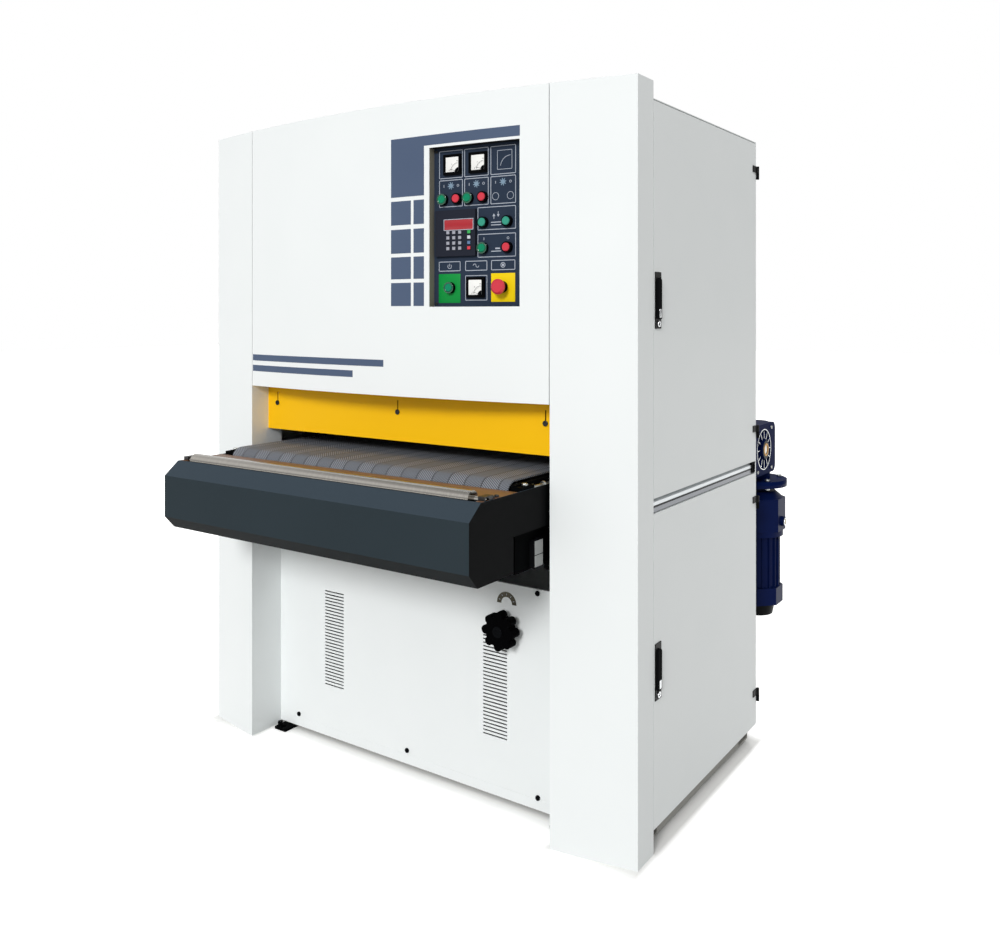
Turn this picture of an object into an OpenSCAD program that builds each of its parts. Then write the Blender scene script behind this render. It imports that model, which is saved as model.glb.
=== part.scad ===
// Wide belt sander with two sanding heads and a lifting conveyor table.
// Origin: centre of the four floor anchor holes, on the floor. +Y points the way the work is fed,
// +X to the door side, +Z up. Millimetres.

/* [Conveyor] */
// Width of the conveyor belt
belt_w = 1000; // [900:10:1200]
// Height of the belt's top over the floor
belt_top_z = 923; // [900:1:960]
// Thickness of the conveyor belt
belt_t = 4; // [3:0.5:6]
// Radius of the conveyor rollers
roller_r = 33; // [30:1:36]
// Radius of the roller shafts
roller_shaft_r = 14; // [10:1:16]
// Room between the belt's edge and the bed's side plate
belt_side_gap = 6; // [4:1:12]
// Thickness of the bed's side plates
bed_side_t = 12; // [8:1:16]
// Height of the bed's side plates
bed_side_h = 215; // [200:1:225]
// Thickness of the bed plate under the belt
bed_plate_t = 6; // [4:1:10]
// Front roller's axis, forward of the cabinet front
front_overhang = 205; // [190:1:215]
// Rear roller's axis, behind the cabinet back
rear_overhang = 160; // [150:1:200]

/* [Infeed box] */
// Width of the bearing blocks between bed and box
bearing_w = 18.5; // [14:0.5:25]
// Sheet thickness of the infeed box
box_t = 3; // [2:0.5:4]
// Front face of the box, forward of the front roller's axis
box_reach = 243; // [230:1:260]
// Height of the box
box_h = 189; // [175:1:200]
// Drop of the box's top below the belt's top
box_drop = 20; // [17:1:25]
// Depth of the upper slanted face
top_slant_d = 45; // [30:1:55]
// Height of the upper slanted face
top_slant_h = 37; // [25:1:45]
// Depth of the lower slanted face
low_slant_d = 32; // [20:1:40]
// Height of the lower slanted face
low_slant_h = 35; // [20:1:45]
// Radius of the steel infeed roller
infeed_r = 20; // [16:1:22]
// Radius of the infeed roller's journals
infeed_pin_r = 8; // [5:1:10]
// Room between the table and the columns
table_clear = 9.5; // [5:0.5:15]

/* [Body] */
// Width of the left column
left_column_w = 205; // [190:1:240]
// Width of the right column
right_column_w = 222; // [190:1:240]
// Plain depth of a column's side
column_return = 86; // [75:1:110]
// Radius of the bowed front
bow_r = 3800; // [3000:50:6000]
// Roof below the column tops
roof_drop = 43; // [30:1:60]
// Lower edge of doors and side panels
skirt_z = 59; // [50:1:75]
// Thickness of the cover sheets
sheet_t = 2; // [1.5:0.5:3]
// Width of the joints beside the front cover
cover_joint = 2.5; // [1:0.5:4]
// Width of the columns' rear flanges
flange_w = 70; // [50:1:85]
// Visible height of the front guard
guard_show = 140; // [120:1:160]
// Setback of the guard behind the bow's foremost line
guard_set = 108; // [95:1:120]

/* [Frame] */
// Width of the square frame tubes
post_w = 60; // [50:1:70]
// Wall of the frame tubes
frame_wall = 4; // [3:0.5:6]
// Depth of the floor rails
rail_d = 80; // [75:1:90]
// Distance between the anchor holes across the machine
anchor_x = 1030; // [980:2:1034]
// Anchor holes outside the cabinet's front and back
anchor_out = 29.3; // [25:0.1:35]
// Radius of the anchor holes
anchor_r = 9; // [6:0.5:12]
// Thickness of the floor pads
pad_t = 8; // [6:1:12]

/* [Sanding heads] */
// Height of the sanding line over the belt at rest
feed_gap = 40; // [35:1:60]
// Radius of the contact drums
drum_r = 98; // [90:1:102]
// Radius of the tension rollers
tension_r = 70; // [60:1:80]
// Length of drums and tension rollers
drum_l = 1020; // [1000:5:1030]
// Radius of the drum shafts
drum_shaft_r = 30; // [20:1:35]
// Length round an abrasive belt
abrasive_len = 1900; // [1850:10:2100]
// Thickness of an abrasive belt
abrasive_t = 1.5; // [1:0.5:3]
// Front head's axis behind the cabinet front
head_front_space = 237; // [225:1:260]
// Distance between the two heads
head_pitch = 280; // [270:1:320]
// Rear head's axis to the cabinet back
head_rear_space = 215; // [210:1:260]
// Room between the abrasive belts and the roof
head_room = 36; // [30:1:60]
// Depth of the head beams
beam_d = 110; // [90:1:130]
// Height of the head beams
beam_h = 220; // [180:1:240]
// Thickness of the head wall
wall_t = 25; // [20:1:30]
// Radius of the tension rods
rod_r = 15; // [10:1:20]
// Stroke of belt tensioning
tension_stroke = 18; // [10:1:20]
// Radius of the pressure rollers
press_r = 28; // [22:1:30]

/* [Sander drive] */
// Radius of the main motors
motor_r = 115; // [100:1:125]
// Length of the main motors
motor_l = 360; // [300:5:380]
// Height of the main motors' axes
motor_z = 260; // [240:1:300]
// Radius of the motor pulleys
motor_pulley_r = 95; // [80:1:105]
// Radius of the drum pulleys
drum_pulley_r = 75; // [65:1:85]
// Width of the pulleys
pulley_w = 50; // [40:1:60]
// Thickness of the drive belts
vee_t = 10; // [8:1:12]
// Radius of the motor shafts
motor_shaft_r = 21; // [15:1:25]

/* [Table lift] */
// Travel of the table upwards from rest
lift_up = 37; // [30:1:37]
// Travel of the table downwards from rest
lift_down = 72; // [60:1:72]
// Radius of the lift screws
screw_r = 18; // [14:1:20]
// Distance of the screws inside the bed's side plates
screw_x = 36; // [31:1:66]
// Radius of the screw sprockets
sprocket_r = 28; // [24:1:30]
// Height of the lift nuts
nut_h = 50; // [40:1:55]
// Radius of the lift nuts
nut_r = 34; // [28:1:36]
// Radius of the hand knob
knob_r = 52; // [40:1:60]
// Number of lobes on the hand knob
knob_lobes = 8; // [6:1:10]

/* [Doors] */
// Depth of doors and side panels
door_d = 25; // [20:1:30]
// Height of the rail between the doors
rail_h = 33; // [28:1:40]
// Rail's top below the belt's top
rail_drop = 53; // [45:1:60]
// Gap round the doors
door_gap = 2.5; // [2:0.5:4]
// Height of a handle's dish
dish_h = 140; // [120:1:160]
// Width of a handle's dish
dish_w = 33; // [28:1:40]
// Upper handle's middle over the upper door's lower edge
upper_handle_rise = 488; // [300:1:600]
// Lower handle's middle over the lower door's lower edge
lower_handle_rise = 385; // [300:1:500]

/* [Lower front panel] */
// Gap between this panel and the lowest table
lower_panel_gap = 32; // [25:1:60]
// Number of louvre slots in a group
slot_n = 30; // [20:1:34]
// Distance between the slots
slot_pitch = 10; // [8:0.1:11]
// Height of one slot
slot_h = 4; // [2:0.5:6]
// Length of one slot
slot_l = 80; // [60:1:100]

/* [Control panel] */
// Width of the panel's window
panel_w = 274; // [264:1:300]
// Height of the panel's window
panel_h = 423; // [415:1:460]
// Middle of the window across the machine
panel_x = 322; // [280:1:330]
// Top of the window below the column tops
panel_drop = 131; // [100:1:180]
// Depth of the panel behind the front cover
panel_recess = 27; // [22:1:40]
// Thickness of the panel plate
panel_t = 3; // [2:0.5:4]
// Radius of a button's cap
cap_r = 10.8; // [9:0.1:12]
// Radius of a button's bezel
bezel_r = 14.5; // [13.5:0.1:16]
// Stand of a button's cap over the panel
cap_stand = 15; // [13:0.5:18]
// Travel of a button
cap_travel = 4; // [2:0.5:5]
// Radius of the stop button's mushroom head
stop_r = 20; // [17:0.5:22]
// Side of a panel meter
meter_w = 54; // [48:1:58]

/* [Feed drive] */
// Width of the worm gearbox
gear_w = 108; // [90:1:120]
// Height of the worm gearbox
gear_h = 164; // [150:1:180]
// Length of the worm gearbox
gear_l = 190; // [175:1:200]
// Distance between the roller's and the worm's axes
gear_offset = 75; // [63:1:80]
// Length of the sleeve between bed and gearbox
sleeve_l = 116; // [100:1:120]
// Radius of the variator's flanges
flange_r = 100; // [90:1:105]
// Radius of the feed motor
feed_motor_r = 72; // [65:1:76]
// Height of the variator
variator_h = 146; // [130:1:170]
// Length of the feed motor
feed_motor_l = 222; // [190:1:240]

/* [Fits] */
// Radial clearance of a running fit
run_fit = 0.05; // [0.03:0.01:0.09]
// Room between bodies that move past each other
fit_gap = 0.3; // [0.2:0.1:0.5]

/* [Hidden] */

// Rounding of small and large circles, the overrun of cuts, and the inset that
// lets the straight runs of a belt loop meet its round ends at clear points
rounds = 48;
bow_rounds = 720;
overrun = 5;
run_inset = fit_gap / 15;

// Places across the machine
half_belt = belt_w / 2;
plate_in = half_belt + belt_side_gap;
plate_out = plate_in + bed_side_t;
box_in = plate_out + bearing_w;
half_table = box_in + box_t;
half_open = half_table + table_clear;
work_x = (left_column_w - right_column_w) / 2;
left_in = work_x - half_open;
right_in = work_x + half_open;
body_w = 2 * half_open + left_column_w + right_column_w;
right_out = body_w / 2;
left_out = -right_out;

// Places along the feed
cabinet_d = head_front_space + head_pitch + head_rear_space;
cab_front_y = -cabinet_d / 2;
cab_rear_y = cabinet_d / 2;
bow_sag = bow_r - sqrt(bow_r * bow_r - right_out * right_out);
apex_y = cab_front_y - column_return - bow_sag;
head_y = [cab_front_y + head_front_space, cab_front_y + head_front_space + head_pitch];
conv_front_y = cab_front_y - front_overhang;
conv_rear_y = cab_rear_y + rear_overhang;
guard_y = apex_y + guard_set;

// Heights
sand_z = belt_top_z + feed_gap;
roller_z = belt_top_z - belt_t - fit_gap - roller_r;
drum_z = sand_z + abrasive_t + fit_gap + drum_r;
head_c = (abrasive_len - PI * (drum_r + tension_r)) / 2;
tension_z = drum_z + head_c;
roof_z = tension_z + tension_r + fit_gap + abrasive_t + head_room;
body_h = roof_z + roof_drop;
guard_drop = 1;
guard_z = sand_z - guard_drop;
cover_z = guard_z + guard_show;
bed_top_z = belt_top_z - belt_t - fit_gap;
bed_edge_drop = 4;
bed_z = bed_top_z - bed_edge_drop - bed_side_h;
rail_top_z = belt_top_z - rail_drop;
rail_z = rail_top_z - rail_h;
lower_top_z = bed_z - lift_down - lower_panel_gap;
floor_rail_z = pad_t + post_w;

// Frame posts stand inside the depth of doors and panels
seat_gap = 2;
post_out = right_out - door_d - seat_gap;
post_in = post_out - post_w;
rear_face_y = cab_rear_y - sheet_t;
beam_low_z = sand_z + 3 * press_r;

// Lift screws stand on the floor rails
lift_x = plate_in - screw_x;
screw_y = [cab_front_y + rail_d / 2, cab_rear_y - sheet_t - rail_d / 2];
cross_h = 40;

// Plain solids between two corners, and rounds along each axis
module slab(lo, hi) {
  translate(lo) cube(hi - lo);
}

module rod_x(r, x0, x1, y, z) {
  translate([x0, y, z]) rotate([0, 90, 0]) cylinder(r = r, h = x1 - x0, $fn = rounds);
}

module rod_y(r, y0, y1, x, z) {
  translate([x, y1, z]) rotate([90, 0, 0]) cylinder(r = r, h = y1 - y0, $fn = rounds);
}

module rod_z(r, z0, z1, x, y) {
  translate([x, y, z0]) cylinder(r = r, h = z1 - z0, $fn = rounds);
}

// Outlines drawn in Y and Z, run along X
module along_x(x0, x1) {
  translate([x0, 0, 0]) rotate([90, 0, 90]) linear_extrude(height = x1 - x0) children();
}

// Outlines drawn in X and Z, run along Y
module along_y(y0, y1) {
  translate([0, y1, 0]) rotate([90, 0, 0]) linear_extrude(height = y1 - y0) children();
}

// Square tube between two corners, open along one axis
module tube_bar(lo, hi, along) {
  inset = [for (i = [0:2]) i == along ? -overrun : frame_wall];
  difference() {
    slab(lo, hi);
    slab(lo + inset, hi - inset);
  }
}

// Rectangle with round corners, centred
module round_rect(w, h, r) {
  square([w - 2 * r, h], center = true);
  square([w, h - 2 * r], center = true);
  for (sx = [-1, 1], sy = [-1, 1]) {
    translate([sx * (w / 2 - r), sy * (h / 2 - r)]) circle(r = r, $fn = rounds);
  }
}

// Outline of a belt round two wheels, the second a distance c above the first
module loop_area(r1, r2, c) {
  lean = asin((r1 - r2) / c);
  low = (r1 - run_inset) * [cos(lean), sin(lean)];
  high = (r2 - run_inset) * [cos(lean), sin(lean)] + [0, c];
  circle(r = r1, $fn = 2 * rounds);
  translate([0, c]) circle(r = r2, $fn = 2 * rounds);
  polygon([[-low.x, low.y], low, high, [-high.x, high.y]]);
}

module loop_band(r1, r2, c, t) {
  difference() {
    loop_area(r1 + t, r2 + t, c);
    loop_area(r1, r2, c);
  }
}

// Upright round body whose face is the bowed front, moved back by a depth
module bow_body(depth, z0, z1) {
  translate([0, apex_y + bow_r, z0]) cylinder(r = bow_r - depth, h = z1 - z0, $fn = bow_rounds);
}

// Frame of square tubes: posts, floor rails, door-side rails and beams across
bearing_h = 20;
bearing_r = 30;
motor_foot_w = 180;

module base_frame() {
  color("slategray") {
    for (sx = [-1, 1]) {
      inner = sx < 0 ? -post_out : post_in;
      outer = sx < 0 ? -post_in : post_out;
      side_in = sx < 0 ? -post_out : post_out - rail_d;
      side_out = sx < 0 ? -post_out + rail_d : post_out;
      tube_bar([inner, cab_front_y, floor_rail_z], [outer, cab_front_y + post_w, roof_z - sheet_t], 2);
      tube_bar([inner, rear_face_y - post_w, floor_rail_z], [outer, rear_face_y, roof_z - sheet_t], 2);
      tube_bar([side_in, cab_front_y + rail_d, pad_t], [side_out, rear_face_y - rail_d, floor_rail_z], 1);
      for (z0 = [rail_z - (post_w - rail_h) / 2, roof_z - sheet_t - post_w]) {
        tube_bar([inner, cab_front_y + post_w, z0], [outer, rear_face_y - post_w, z0 + post_w], 1);
      }
    }
    for (y0 = [cab_front_y, rear_face_y - rail_d]) {
      tube_bar([-post_out, y0, pad_t], [post_out, y0 + rail_d, floor_rail_z], 0);
    }
    for (y0 = [cab_front_y, rear_face_y - post_w], z0 = [beam_low_z, roof_z - sheet_t - post_w]) {
      tube_bar([-post_in, y0, z0], [post_in, y0 + post_w, z0 + post_w], 0);
    }
    clamp_z = drum_z + head_c / 2 - post_w / 2;
    tube_bar([post_in, cab_front_y + post_w, clamp_z], [post_out, rear_face_y - post_w, clamp_z + post_w], 1);
    motor_bearers();
    for (sx = [-1, 1], y = screw_y) screw_bearing(work_x + sx * lift_x, y);
  }
}

// Two bearers across the floor frame carry each main motor's feet
module motor_bearers() {
  for (x = motor_foot_x) {
    tube_bar([x - post_w / 2, cab_front_y + rail_d, pad_t], [x + post_w / 2, rear_face_y - rail_d, floor_rail_z], 1);
  }
}

module screw_bearing(x, y) {
  difference() {
    rod_z(bearing_r, floor_rail_z, floor_rail_z + bearing_h, x, y);
    rod_z(screw_r - screw_neck + run_fit, floor_rail_z - overrun, floor_rail_z + bearing_h + overrun, x, y);
  }
}

// Floor pads with a free anchor hole and a levelling bolt each
pad_w = 48;
pad_in = 60;
bolt_r = 8;
bolt_h = 12;

module floor_pads() {
  color("dimgray")
  for (sx = [-1, 1], sy = [-1, 1]) {
    x = sx * anchor_x / 2;
    hole_y = sy * (cab_rear_y + anchor_out);
    reach = anchor_out + pad_in;
    difference() {
      slab(
        [x - pad_w / 2, sy > 0 ? hole_y - reach : hole_y - pad_w / 3, 0],
        [x + pad_w / 2, sy > 0 ? hole_y + pad_w / 3 : hole_y + reach, pad_t]
      );
      rod_z(anchor_r, -overrun, pad_t + overrun, x, hole_y);
    }
    translate([x - pad_w / 3, hole_y, pad_t]) cylinder(r = bolt_r, h = bolt_h, $fn = 6);
  }
}

// Tall front columns: bowed face, plain sides, flanges at the back, closed top
module column(x0, x1) {
  difference() {
    intersection() {
      bow_body(0, 0, body_h);
      slab([x0, apex_y - overrun, 0], [x1, cab_front_y, body_h]);
    }
    intersection() {
      bow_body(sheet_t, -overrun, body_h - sheet_t);
      slab([x0 + sheet_t, apex_y, -overrun], [x1 - sheet_t, cab_front_y - sheet_t, body_h - sheet_t]);
    }
    slab(
      [x0 + flange_w, cab_front_y - sheet_t - overrun, -overrun],
      [x1 - flange_w, cab_front_y + overrun, body_h - sheet_t]
    );
  }
}

module left_column() {
  color("white") column(left_out, left_in);
}

module right_column() {
  color("white") column(right_in, right_out);
}

// Upper front cover: bowed sheet with a window, turned in at all edges and hung on the columns
cover_x0 = left_in + cover_joint;
cover_x1 = right_in - cover_joint;
cover_lip = 8;
tab_w = 30;
tab_shares = [0.15, 0.85];

module front_cover() {
  color("white") {
    difference() {
      intersection() {
        bow_body(0, cover_z, body_h);
        slab([cover_x0, apex_y - overrun, cover_z], [cover_x1, cab_front_y, body_h]);
      }
      intersection() {
        bow_body(sheet_t, cover_z + sheet_t, body_h - sheet_t);
        slab(
          [cover_x0 + sheet_t, apex_y, cover_z + sheet_t],
          [cover_x1 - sheet_t, cab_front_y - sheet_t, body_h - sheet_t]
        );
      }
      slab(
        [cover_x0 + sheet_t, cab_front_y - sheet_t - overrun, cover_z + sheet_t],
        [cover_x1 - sheet_t, cab_front_y + overrun, roof_z]
      );
      slab(
        [cover_x0 + sheet_t, guard_y - cover_lip, cover_z - overrun],
        [cover_x1 - sheet_t, cab_front_y + overrun, cover_z + sheet_t + overrun]
      );
      at_panel() slab([-panel_w / 2, -overrun, -panel_h / 2], [panel_w / 2, panel_recess, panel_h / 2]);
    }
    for (share = tab_shares, edge = [left_in, cover_x1]) {
      z = cover_z + share * (body_h - cover_z);
      slab([edge, guard_y, z], [edge + cover_joint, guard_y + tab_w, z + tab_w]);
    }
  }
}

// Roof sheet with two dust spigots
spigot_r = 75;
spigot_h = 85;

module roof() {
  color("whitesmoke") {
    difference() {
      union() {
        slab([left_out, cab_front_y, roof_z - sheet_t], [right_out, cab_rear_y, roof_z]);
        for (y = head_y) rod_z(spigot_r, roof_z - sheet_t, roof_z + spigot_h, work_x, y);
      }
      for (y = head_y) {
        rod_z(spigot_r - sheet_t, roof_z - sheet_t - overrun, roof_z + spigot_h + overrun, work_x, y);
      }
    }
  }
}

// Left side panels, turned in at the edges and seated on the posts
module side_tray(z0, z1) {
  y0 = cab_front_y + door_gap;
  y1 = rear_face_y - door_gap;
  difference() {
    slab([left_out, y0, z0], [-post_out, y1, z1]);
    slab(
      [left_out + sheet_t, y0 + sheet_t, z0 + sheet_t],
      [-post_out + overrun, y1 - sheet_t, z1 - sheet_t]
    );
  }
}

module left_panel() {
  color("whitesmoke") {
    side_tray(skirt_z, rail_z - door_gap);
    side_tray(rail_z, roof_z - sheet_t - door_gap);
  }
}

// Back sheet with the outfeed opening
module rear_panel() {
  color("whitesmoke")
  difference() {
    slab([left_out, rear_face_y, skirt_z], [right_out, cab_rear_y, roof_z - sheet_t]);
    slab([left_in, rear_face_y - overrun, lower_top_z], [right_in, cab_rear_y + overrun, guard_z]);
  }
}

// Lower front panel with two louvre groups and the hand knob's hole
plinth_h = 27;
groove = 1.2;
slot_base = 169;
louvre_in = [199, 291];
louvre_x = [left_in + louvre_in[0], right_in - louvre_in[1]];
lower_flange = 5;
knob_in = 205.5;
knob_x = right_in - knob_in;
knob_z = 479;
knob_shaft_r = 12;
shaft_room = 3;

module lower_panel() {
  y0 = cab_front_y - sheet_t;
  z0 = pad_t + sheet_t;
  color("white")
  difference() {
    union() {
      slab([left_in, y0, z0], [right_in, cab_front_y, lower_top_z]);
      slab([left_in, y0, lower_top_z - sheet_t], [right_in, y0 + lower_flange, lower_top_z]);
    }
    slab(
      [left_in - overrun, y0 - overrun, z0 + plinth_h],
      [right_in + overrun, y0 + sheet_t / 2, z0 + plinth_h + groove]
    );
    for (x = louvre_x, i = [0:slot_n - 1]) {
      translate([x, y0 - overrun, slot_base + i * slot_pitch])
        cube([slot_l, sheet_t + 2 * overrun, slot_h]);
    }
    rod_y(knob_shaft_r + shaft_room, y0 - overrun, cab_front_y + overrun, knob_x, knob_z);
  }
}

// Guard over the infeed, with turned-in ends and three keyhole slots
keyhole_r = 5;
keyslot_w = 4;
keyslot_h = 34;
keyhole_rise = 83;
keyhole_shares = [0.04, 0.495, 0.95];
guard_flange = 35;

module guard_plate() {
  top_z = cover_z - seat_gap;
  color("goldenrod")
  difference() {
    union() {
      slab([left_in, guard_y, guard_z], [right_in, guard_y + sheet_t, top_z]);
      for (x = [left_in, right_in - sheet_t]) {
        slab([x, guard_y, guard_z], [x + sheet_t, guard_y + guard_flange, top_z]);
      }
    }
    for (share = keyhole_shares) {
      x = left_in + share * (right_in - left_in);
      z = guard_z + keyhole_rise;
      rod_y(keyhole_r, guard_y - overrun, guard_y + sheet_t + overrun, x, z);
      slab(
        [x - keyslot_w / 2, guard_y - overrun, z],
        [x + keyslot_w / 2, guard_y + sheet_t + overrun, z + keyslot_h]
      );
    }
  }
}

// Metal rail between the doors, with a seal groove
rail_set = 4;
rail_groove_h = 5;
rail_groove_d = 8;

module side_rail() {
  face = right_out - rail_set;
  z1 = rail_z + rail_h;
  mid_z = rail_z + rail_h / 2;
  color("silver")
  along_y(cab_front_y, rear_face_y)
  polygon([
    [post_out, rail_z],
    [face, rail_z],
    [face, mid_z - rail_groove_h],
    [face - rail_groove_d, mid_z - rail_groove_h],
    [face - rail_groove_d, mid_z],
    [face, mid_z],
    [face, z1 - rail_groove_d],
    [face - rail_groove_d, z1],
    [post_out, z1]
  ]);
}

// Control panel, set square to the bowed front at its own middle
panel_turn = asin(panel_x / bow_r);
panel_z = body_h - panel_drop - panel_h / 2;
tray_t = 1.5;
// Columns and rows of the panel, from its middle
panel_col = [-84, -5, 75];
pair_gap = 44;
meter_row = 165;
starter_row = 74;
table_row = 8;
feed_row = -59;
power_row = -161;
right_pair = [18, 90];

module at_panel() {
  translate([panel_x, apex_y + bow_r - sqrt(bow_r * bow_r - panel_x * panel_x), panel_z])
    rotate([0, 0, panel_turn]) children();
}

button_places = [
  [panel_col[0] - pair_gap / 2, starter_row],
  [panel_col[0] + pair_gap / 2, starter_row],
  [panel_col[1] - pair_gap / 2, starter_row],
  [panel_col[1] + pair_gap / 2, starter_row],
  [right_pair[0], table_row],
  [right_pair[1], table_row],
  [right_pair[0], feed_row],
  [right_pair[1], feed_row],
  [panel_col[0], power_row],
  [panel_col[2], power_row]
];

module control_panel() {
  w = panel_w / 2 + tray_t;
  h = panel_h / 2 + tray_t;
  color("midnightblue")
  intersection() {
    bow_body(sheet_t, cover_z, body_h);
    at_panel() difference() {
      slab([-w, 0, -h], [w, panel_recess + panel_t, h]);
      slab([-panel_w / 2, -overrun, -panel_h / 2], [panel_w / 2, panel_recess, panel_h / 2]);
      for (p = button_places) {
        rod_y(cap_r + fit_gap, panel_recess - overrun, panel_recess + panel_t + overrun, p[0], p[1]);
      }
    }
  }
}

// Meters, digital readout and button bezels, seated on the panel plate
meter_d = 9;
meter_rim = 4;
readout_w = 124;
readout_h = 122;
readout_d = 10;
readout_x = -65;
readout_z = -17;
display_w = 90;
display_h = 28;
display_x = 11;
display_rise = 22;
key_w = 10;
key_d = 1.5;
key_cols = [-21, -2.5, 16, 44];
key_rows = [1.5, -12.5, -26.5, -40.5];
meter_places = [[panel_col[0] + 8, meter_row], [panel_col[1] + 8, meter_row], [panel_col[1], power_row]];

module panel_fittings() {
  front = panel_recess;
  color("black") at_panel() {
    for (p = meter_places) translate([p[0], 0, p[1]]) {
      half = meter_w / 2;
      difference() {
        slab([-half, front - meter_d, -half], [half, front, half]);
        slab(
          [meter_rim - half, front - meter_d - overrun, meter_rim - half],
          [half - meter_rim, front - meter_d + meter_rim / 2, half - meter_rim]
        );
      }
    }
    for (i = [0:len(button_places) - 1]) translate([button_places[i][0], 0, button_places[i][1]]) {
      difference() {
        rod_y(bezel_r, front - cap_stand + cap_travel, front, 0, 0);
        rod_y(cap_r + run_fit, front - cap_stand - overrun, front + overrun, 0, 0);
      }
    }
    translate([readout_x, 0, readout_z]) readout(front);
  }
}

module readout(front) {
  difference() {
    slab([-readout_w / 2, front - readout_d, -readout_h / 2], [readout_w / 2, front, readout_h / 2]);
    slab(
      [display_x - display_w / 2, front - readout_d - overrun, display_rise - display_h / 2],
      [display_x + display_w / 2, front - readout_d + key_d, display_rise + display_h / 2]
    );
  }
  for (x = key_cols, z = key_rows) {
    slab(
      [x - key_w / 2, front - readout_d - key_d, z - key_w / 2],
      [x + key_w / 2, front - readout_d, z + key_w / 2]
    );
  }
}

// Push buttons: plain caps, and a mushroom head on the emergency stop
cap_back = 14;
cap_edge = 1.5;

module push_button(i) {
  front = panel_recess - cap_stand;
  at_panel() translate([button_places[i][0], front, button_places[i][1]]) rotate([-90, 0, 0])
    rotate_extrude($fn = rounds)
    polygon([
      [0, 0],
      [cap_r - cap_edge, 0],
      [cap_r, cap_edge],
      [cap_r, cap_stand + panel_t + cap_back],
      [0, cap_stand + panel_t + cap_back]
    ]);
}

module front_sander_start() { color("green") push_button(0); }
module front_sander_stop() { color("crimson") push_button(1); }
module rear_sander_start() { color("green") push_button(2); }
module rear_sander_stop() { color("crimson") push_button(3); }
module table_up() { color("seagreen") push_button(4); }
module table_down() { color("seagreen") push_button(5); }
module feed_start() { color("green") push_button(6); }
module feed_stop() { color("crimson") push_button(7); }
module power_on() { color("green") push_button(8); }

stop_neck = 9;
stop_rim = 8;
stop_crown = 5;

module emergency_stop() {
  p = button_places[9];
  head = cap_stand - cap_travel + stop_neck;
  color("red")
  at_panel() translate([p[0], panel_recess, p[1]]) rotate([90, 0, 0])
    rotate_extrude($fn = rounds)
    polygon([
      [0, -panel_t - cap_back],
      [cap_r, -panel_t - cap_back],
      [cap_r, head],
      [stop_r - stop_rim / 2, head],
      [stop_r, head + stop_rim / 2],
      [stop_r, head + stop_rim],
      [stop_r - stop_crown, head + stop_rim + stop_crown],
      [0, head + stop_rim + stop_crown]
    ]);
}

// Doors on the right, each a turned-in sheet with a handle dish and hinge halves
hinge_out = 4.5;
hinge_back = 4;
hinge_r = 4.2;
hinge_pin_r = 2.2;
hinge_half = 20;
hinge_leaf_t = 3;
hinge_leaf_w = 26;
hinge_set = 70;
dish_t = 2.5;
dish_set = 4;
lever_w = 20;
lever_t = 5;
lever_shaft_r = 7;
lever_edge = 14;
hinge_x = right_out + hinge_out;
hinge_y = cab_rear_y + hinge_back;
door_y0 = cab_front_y + door_gap;
door_y1 = rear_face_y - door_gap;
upper_z = [rail_top_z + door_gap, roof_z - sheet_t - door_gap];
lower_z = [skirt_z, rail_z - door_gap];
handle_y = door_y0 + dish_set + dish_w / 2;
upper_handle_z = upper_z[0] + upper_handle_rise;
lower_handle_z = lower_z[0] + lower_handle_rise;

function hinge_levels(span) = [span[0] + hinge_set, span[1] - hinge_set - 2 * hinge_half];
function lever_pivot_z(handle_z) = handle_z + dish_h / 2 - lever_edge - lever_w / 2;

module door(span, handle_z) {
  pivot_z = lever_pivot_z(handle_z);
  difference() {
    union() {
      slab([right_out - door_d, door_y0, span[0]], [right_out, door_y1, span[1]]);
      slab(
        [right_out - sheet_t, handle_y - dish_w / 2, handle_z - dish_h / 2],
        [right_out + dish_t, handle_y + dish_w / 2, handle_z + dish_h / 2]
      );
      for (z = hinge_levels(span)) {
        z0 = z + hinge_half + fit_gap;
        rod_z(hinge_r, z0, z + 2 * hinge_half, hinge_x, hinge_y);
        slab([right_out, door_y1 - hinge_leaf_w, z0], [right_out + hinge_leaf_t, hinge_y, z + 2 * hinge_half]);
      }
    }
    slab(
      [right_out - door_d - overrun, door_y0 + sheet_t, span[0] + sheet_t],
      [right_out - sheet_t, door_y1 - sheet_t, span[1] - sheet_t]
    );
    rod_x(lever_shaft_r + run_fit, right_out - door_d, right_out + dish_t + overrun, handle_y, pivot_z);
    for (z = hinge_levels(span)) {
      rod_z(hinge_pin_r + run_fit, z, z + 2 * hinge_half + overrun, hinge_x, hinge_y);
    }
  }
}

module upper_door() {
  color("gainsboro") door(upper_z, upper_handle_z);
}

module lower_door() {
  color("gainsboro") door(lower_z, lower_handle_z);
}

// Fixed hinge halves with their pins, on the back sheets
module door_hinges() {
  color("black")
  for (span = [upper_z, lower_z], z = hinge_levels(span)) {
    rod_z(hinge_r, z, z + hinge_half, hinge_x, hinge_y);
    rod_z(hinge_pin_r, z, z + 2 * hinge_half, hinge_x, hinge_y);
    slab([post_out - hinge_leaf_w, cab_rear_y, z], [hinge_x, cab_rear_y + hinge_leaf_t, z + hinge_half]);
  }
}

// Turning handle levers on the doors
module handle_lever(handle_z) {
  pivot_z = lever_pivot_z(handle_z);
  x0 = right_out + dish_t + fit_gap;
  tail = dish_h - 2 * lever_edge - lever_w;
  rod_x(lever_w / 2, x0, x0 + lever_t, handle_y, pivot_z);
  slab([x0, handle_y - lever_w / 2, pivot_z - tail], [x0 + lever_t, handle_y + lever_w / 2, pivot_z]);
  rod_x(lever_shaft_r, right_out - door_d / 2, x0 + lever_t, handle_y, pivot_z);
}

module upper_lever() {
  color("black") handle_lever(upper_handle_z);
}

module lower_lever() {
  color("black") handle_lever(lower_handle_z);
}

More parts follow.
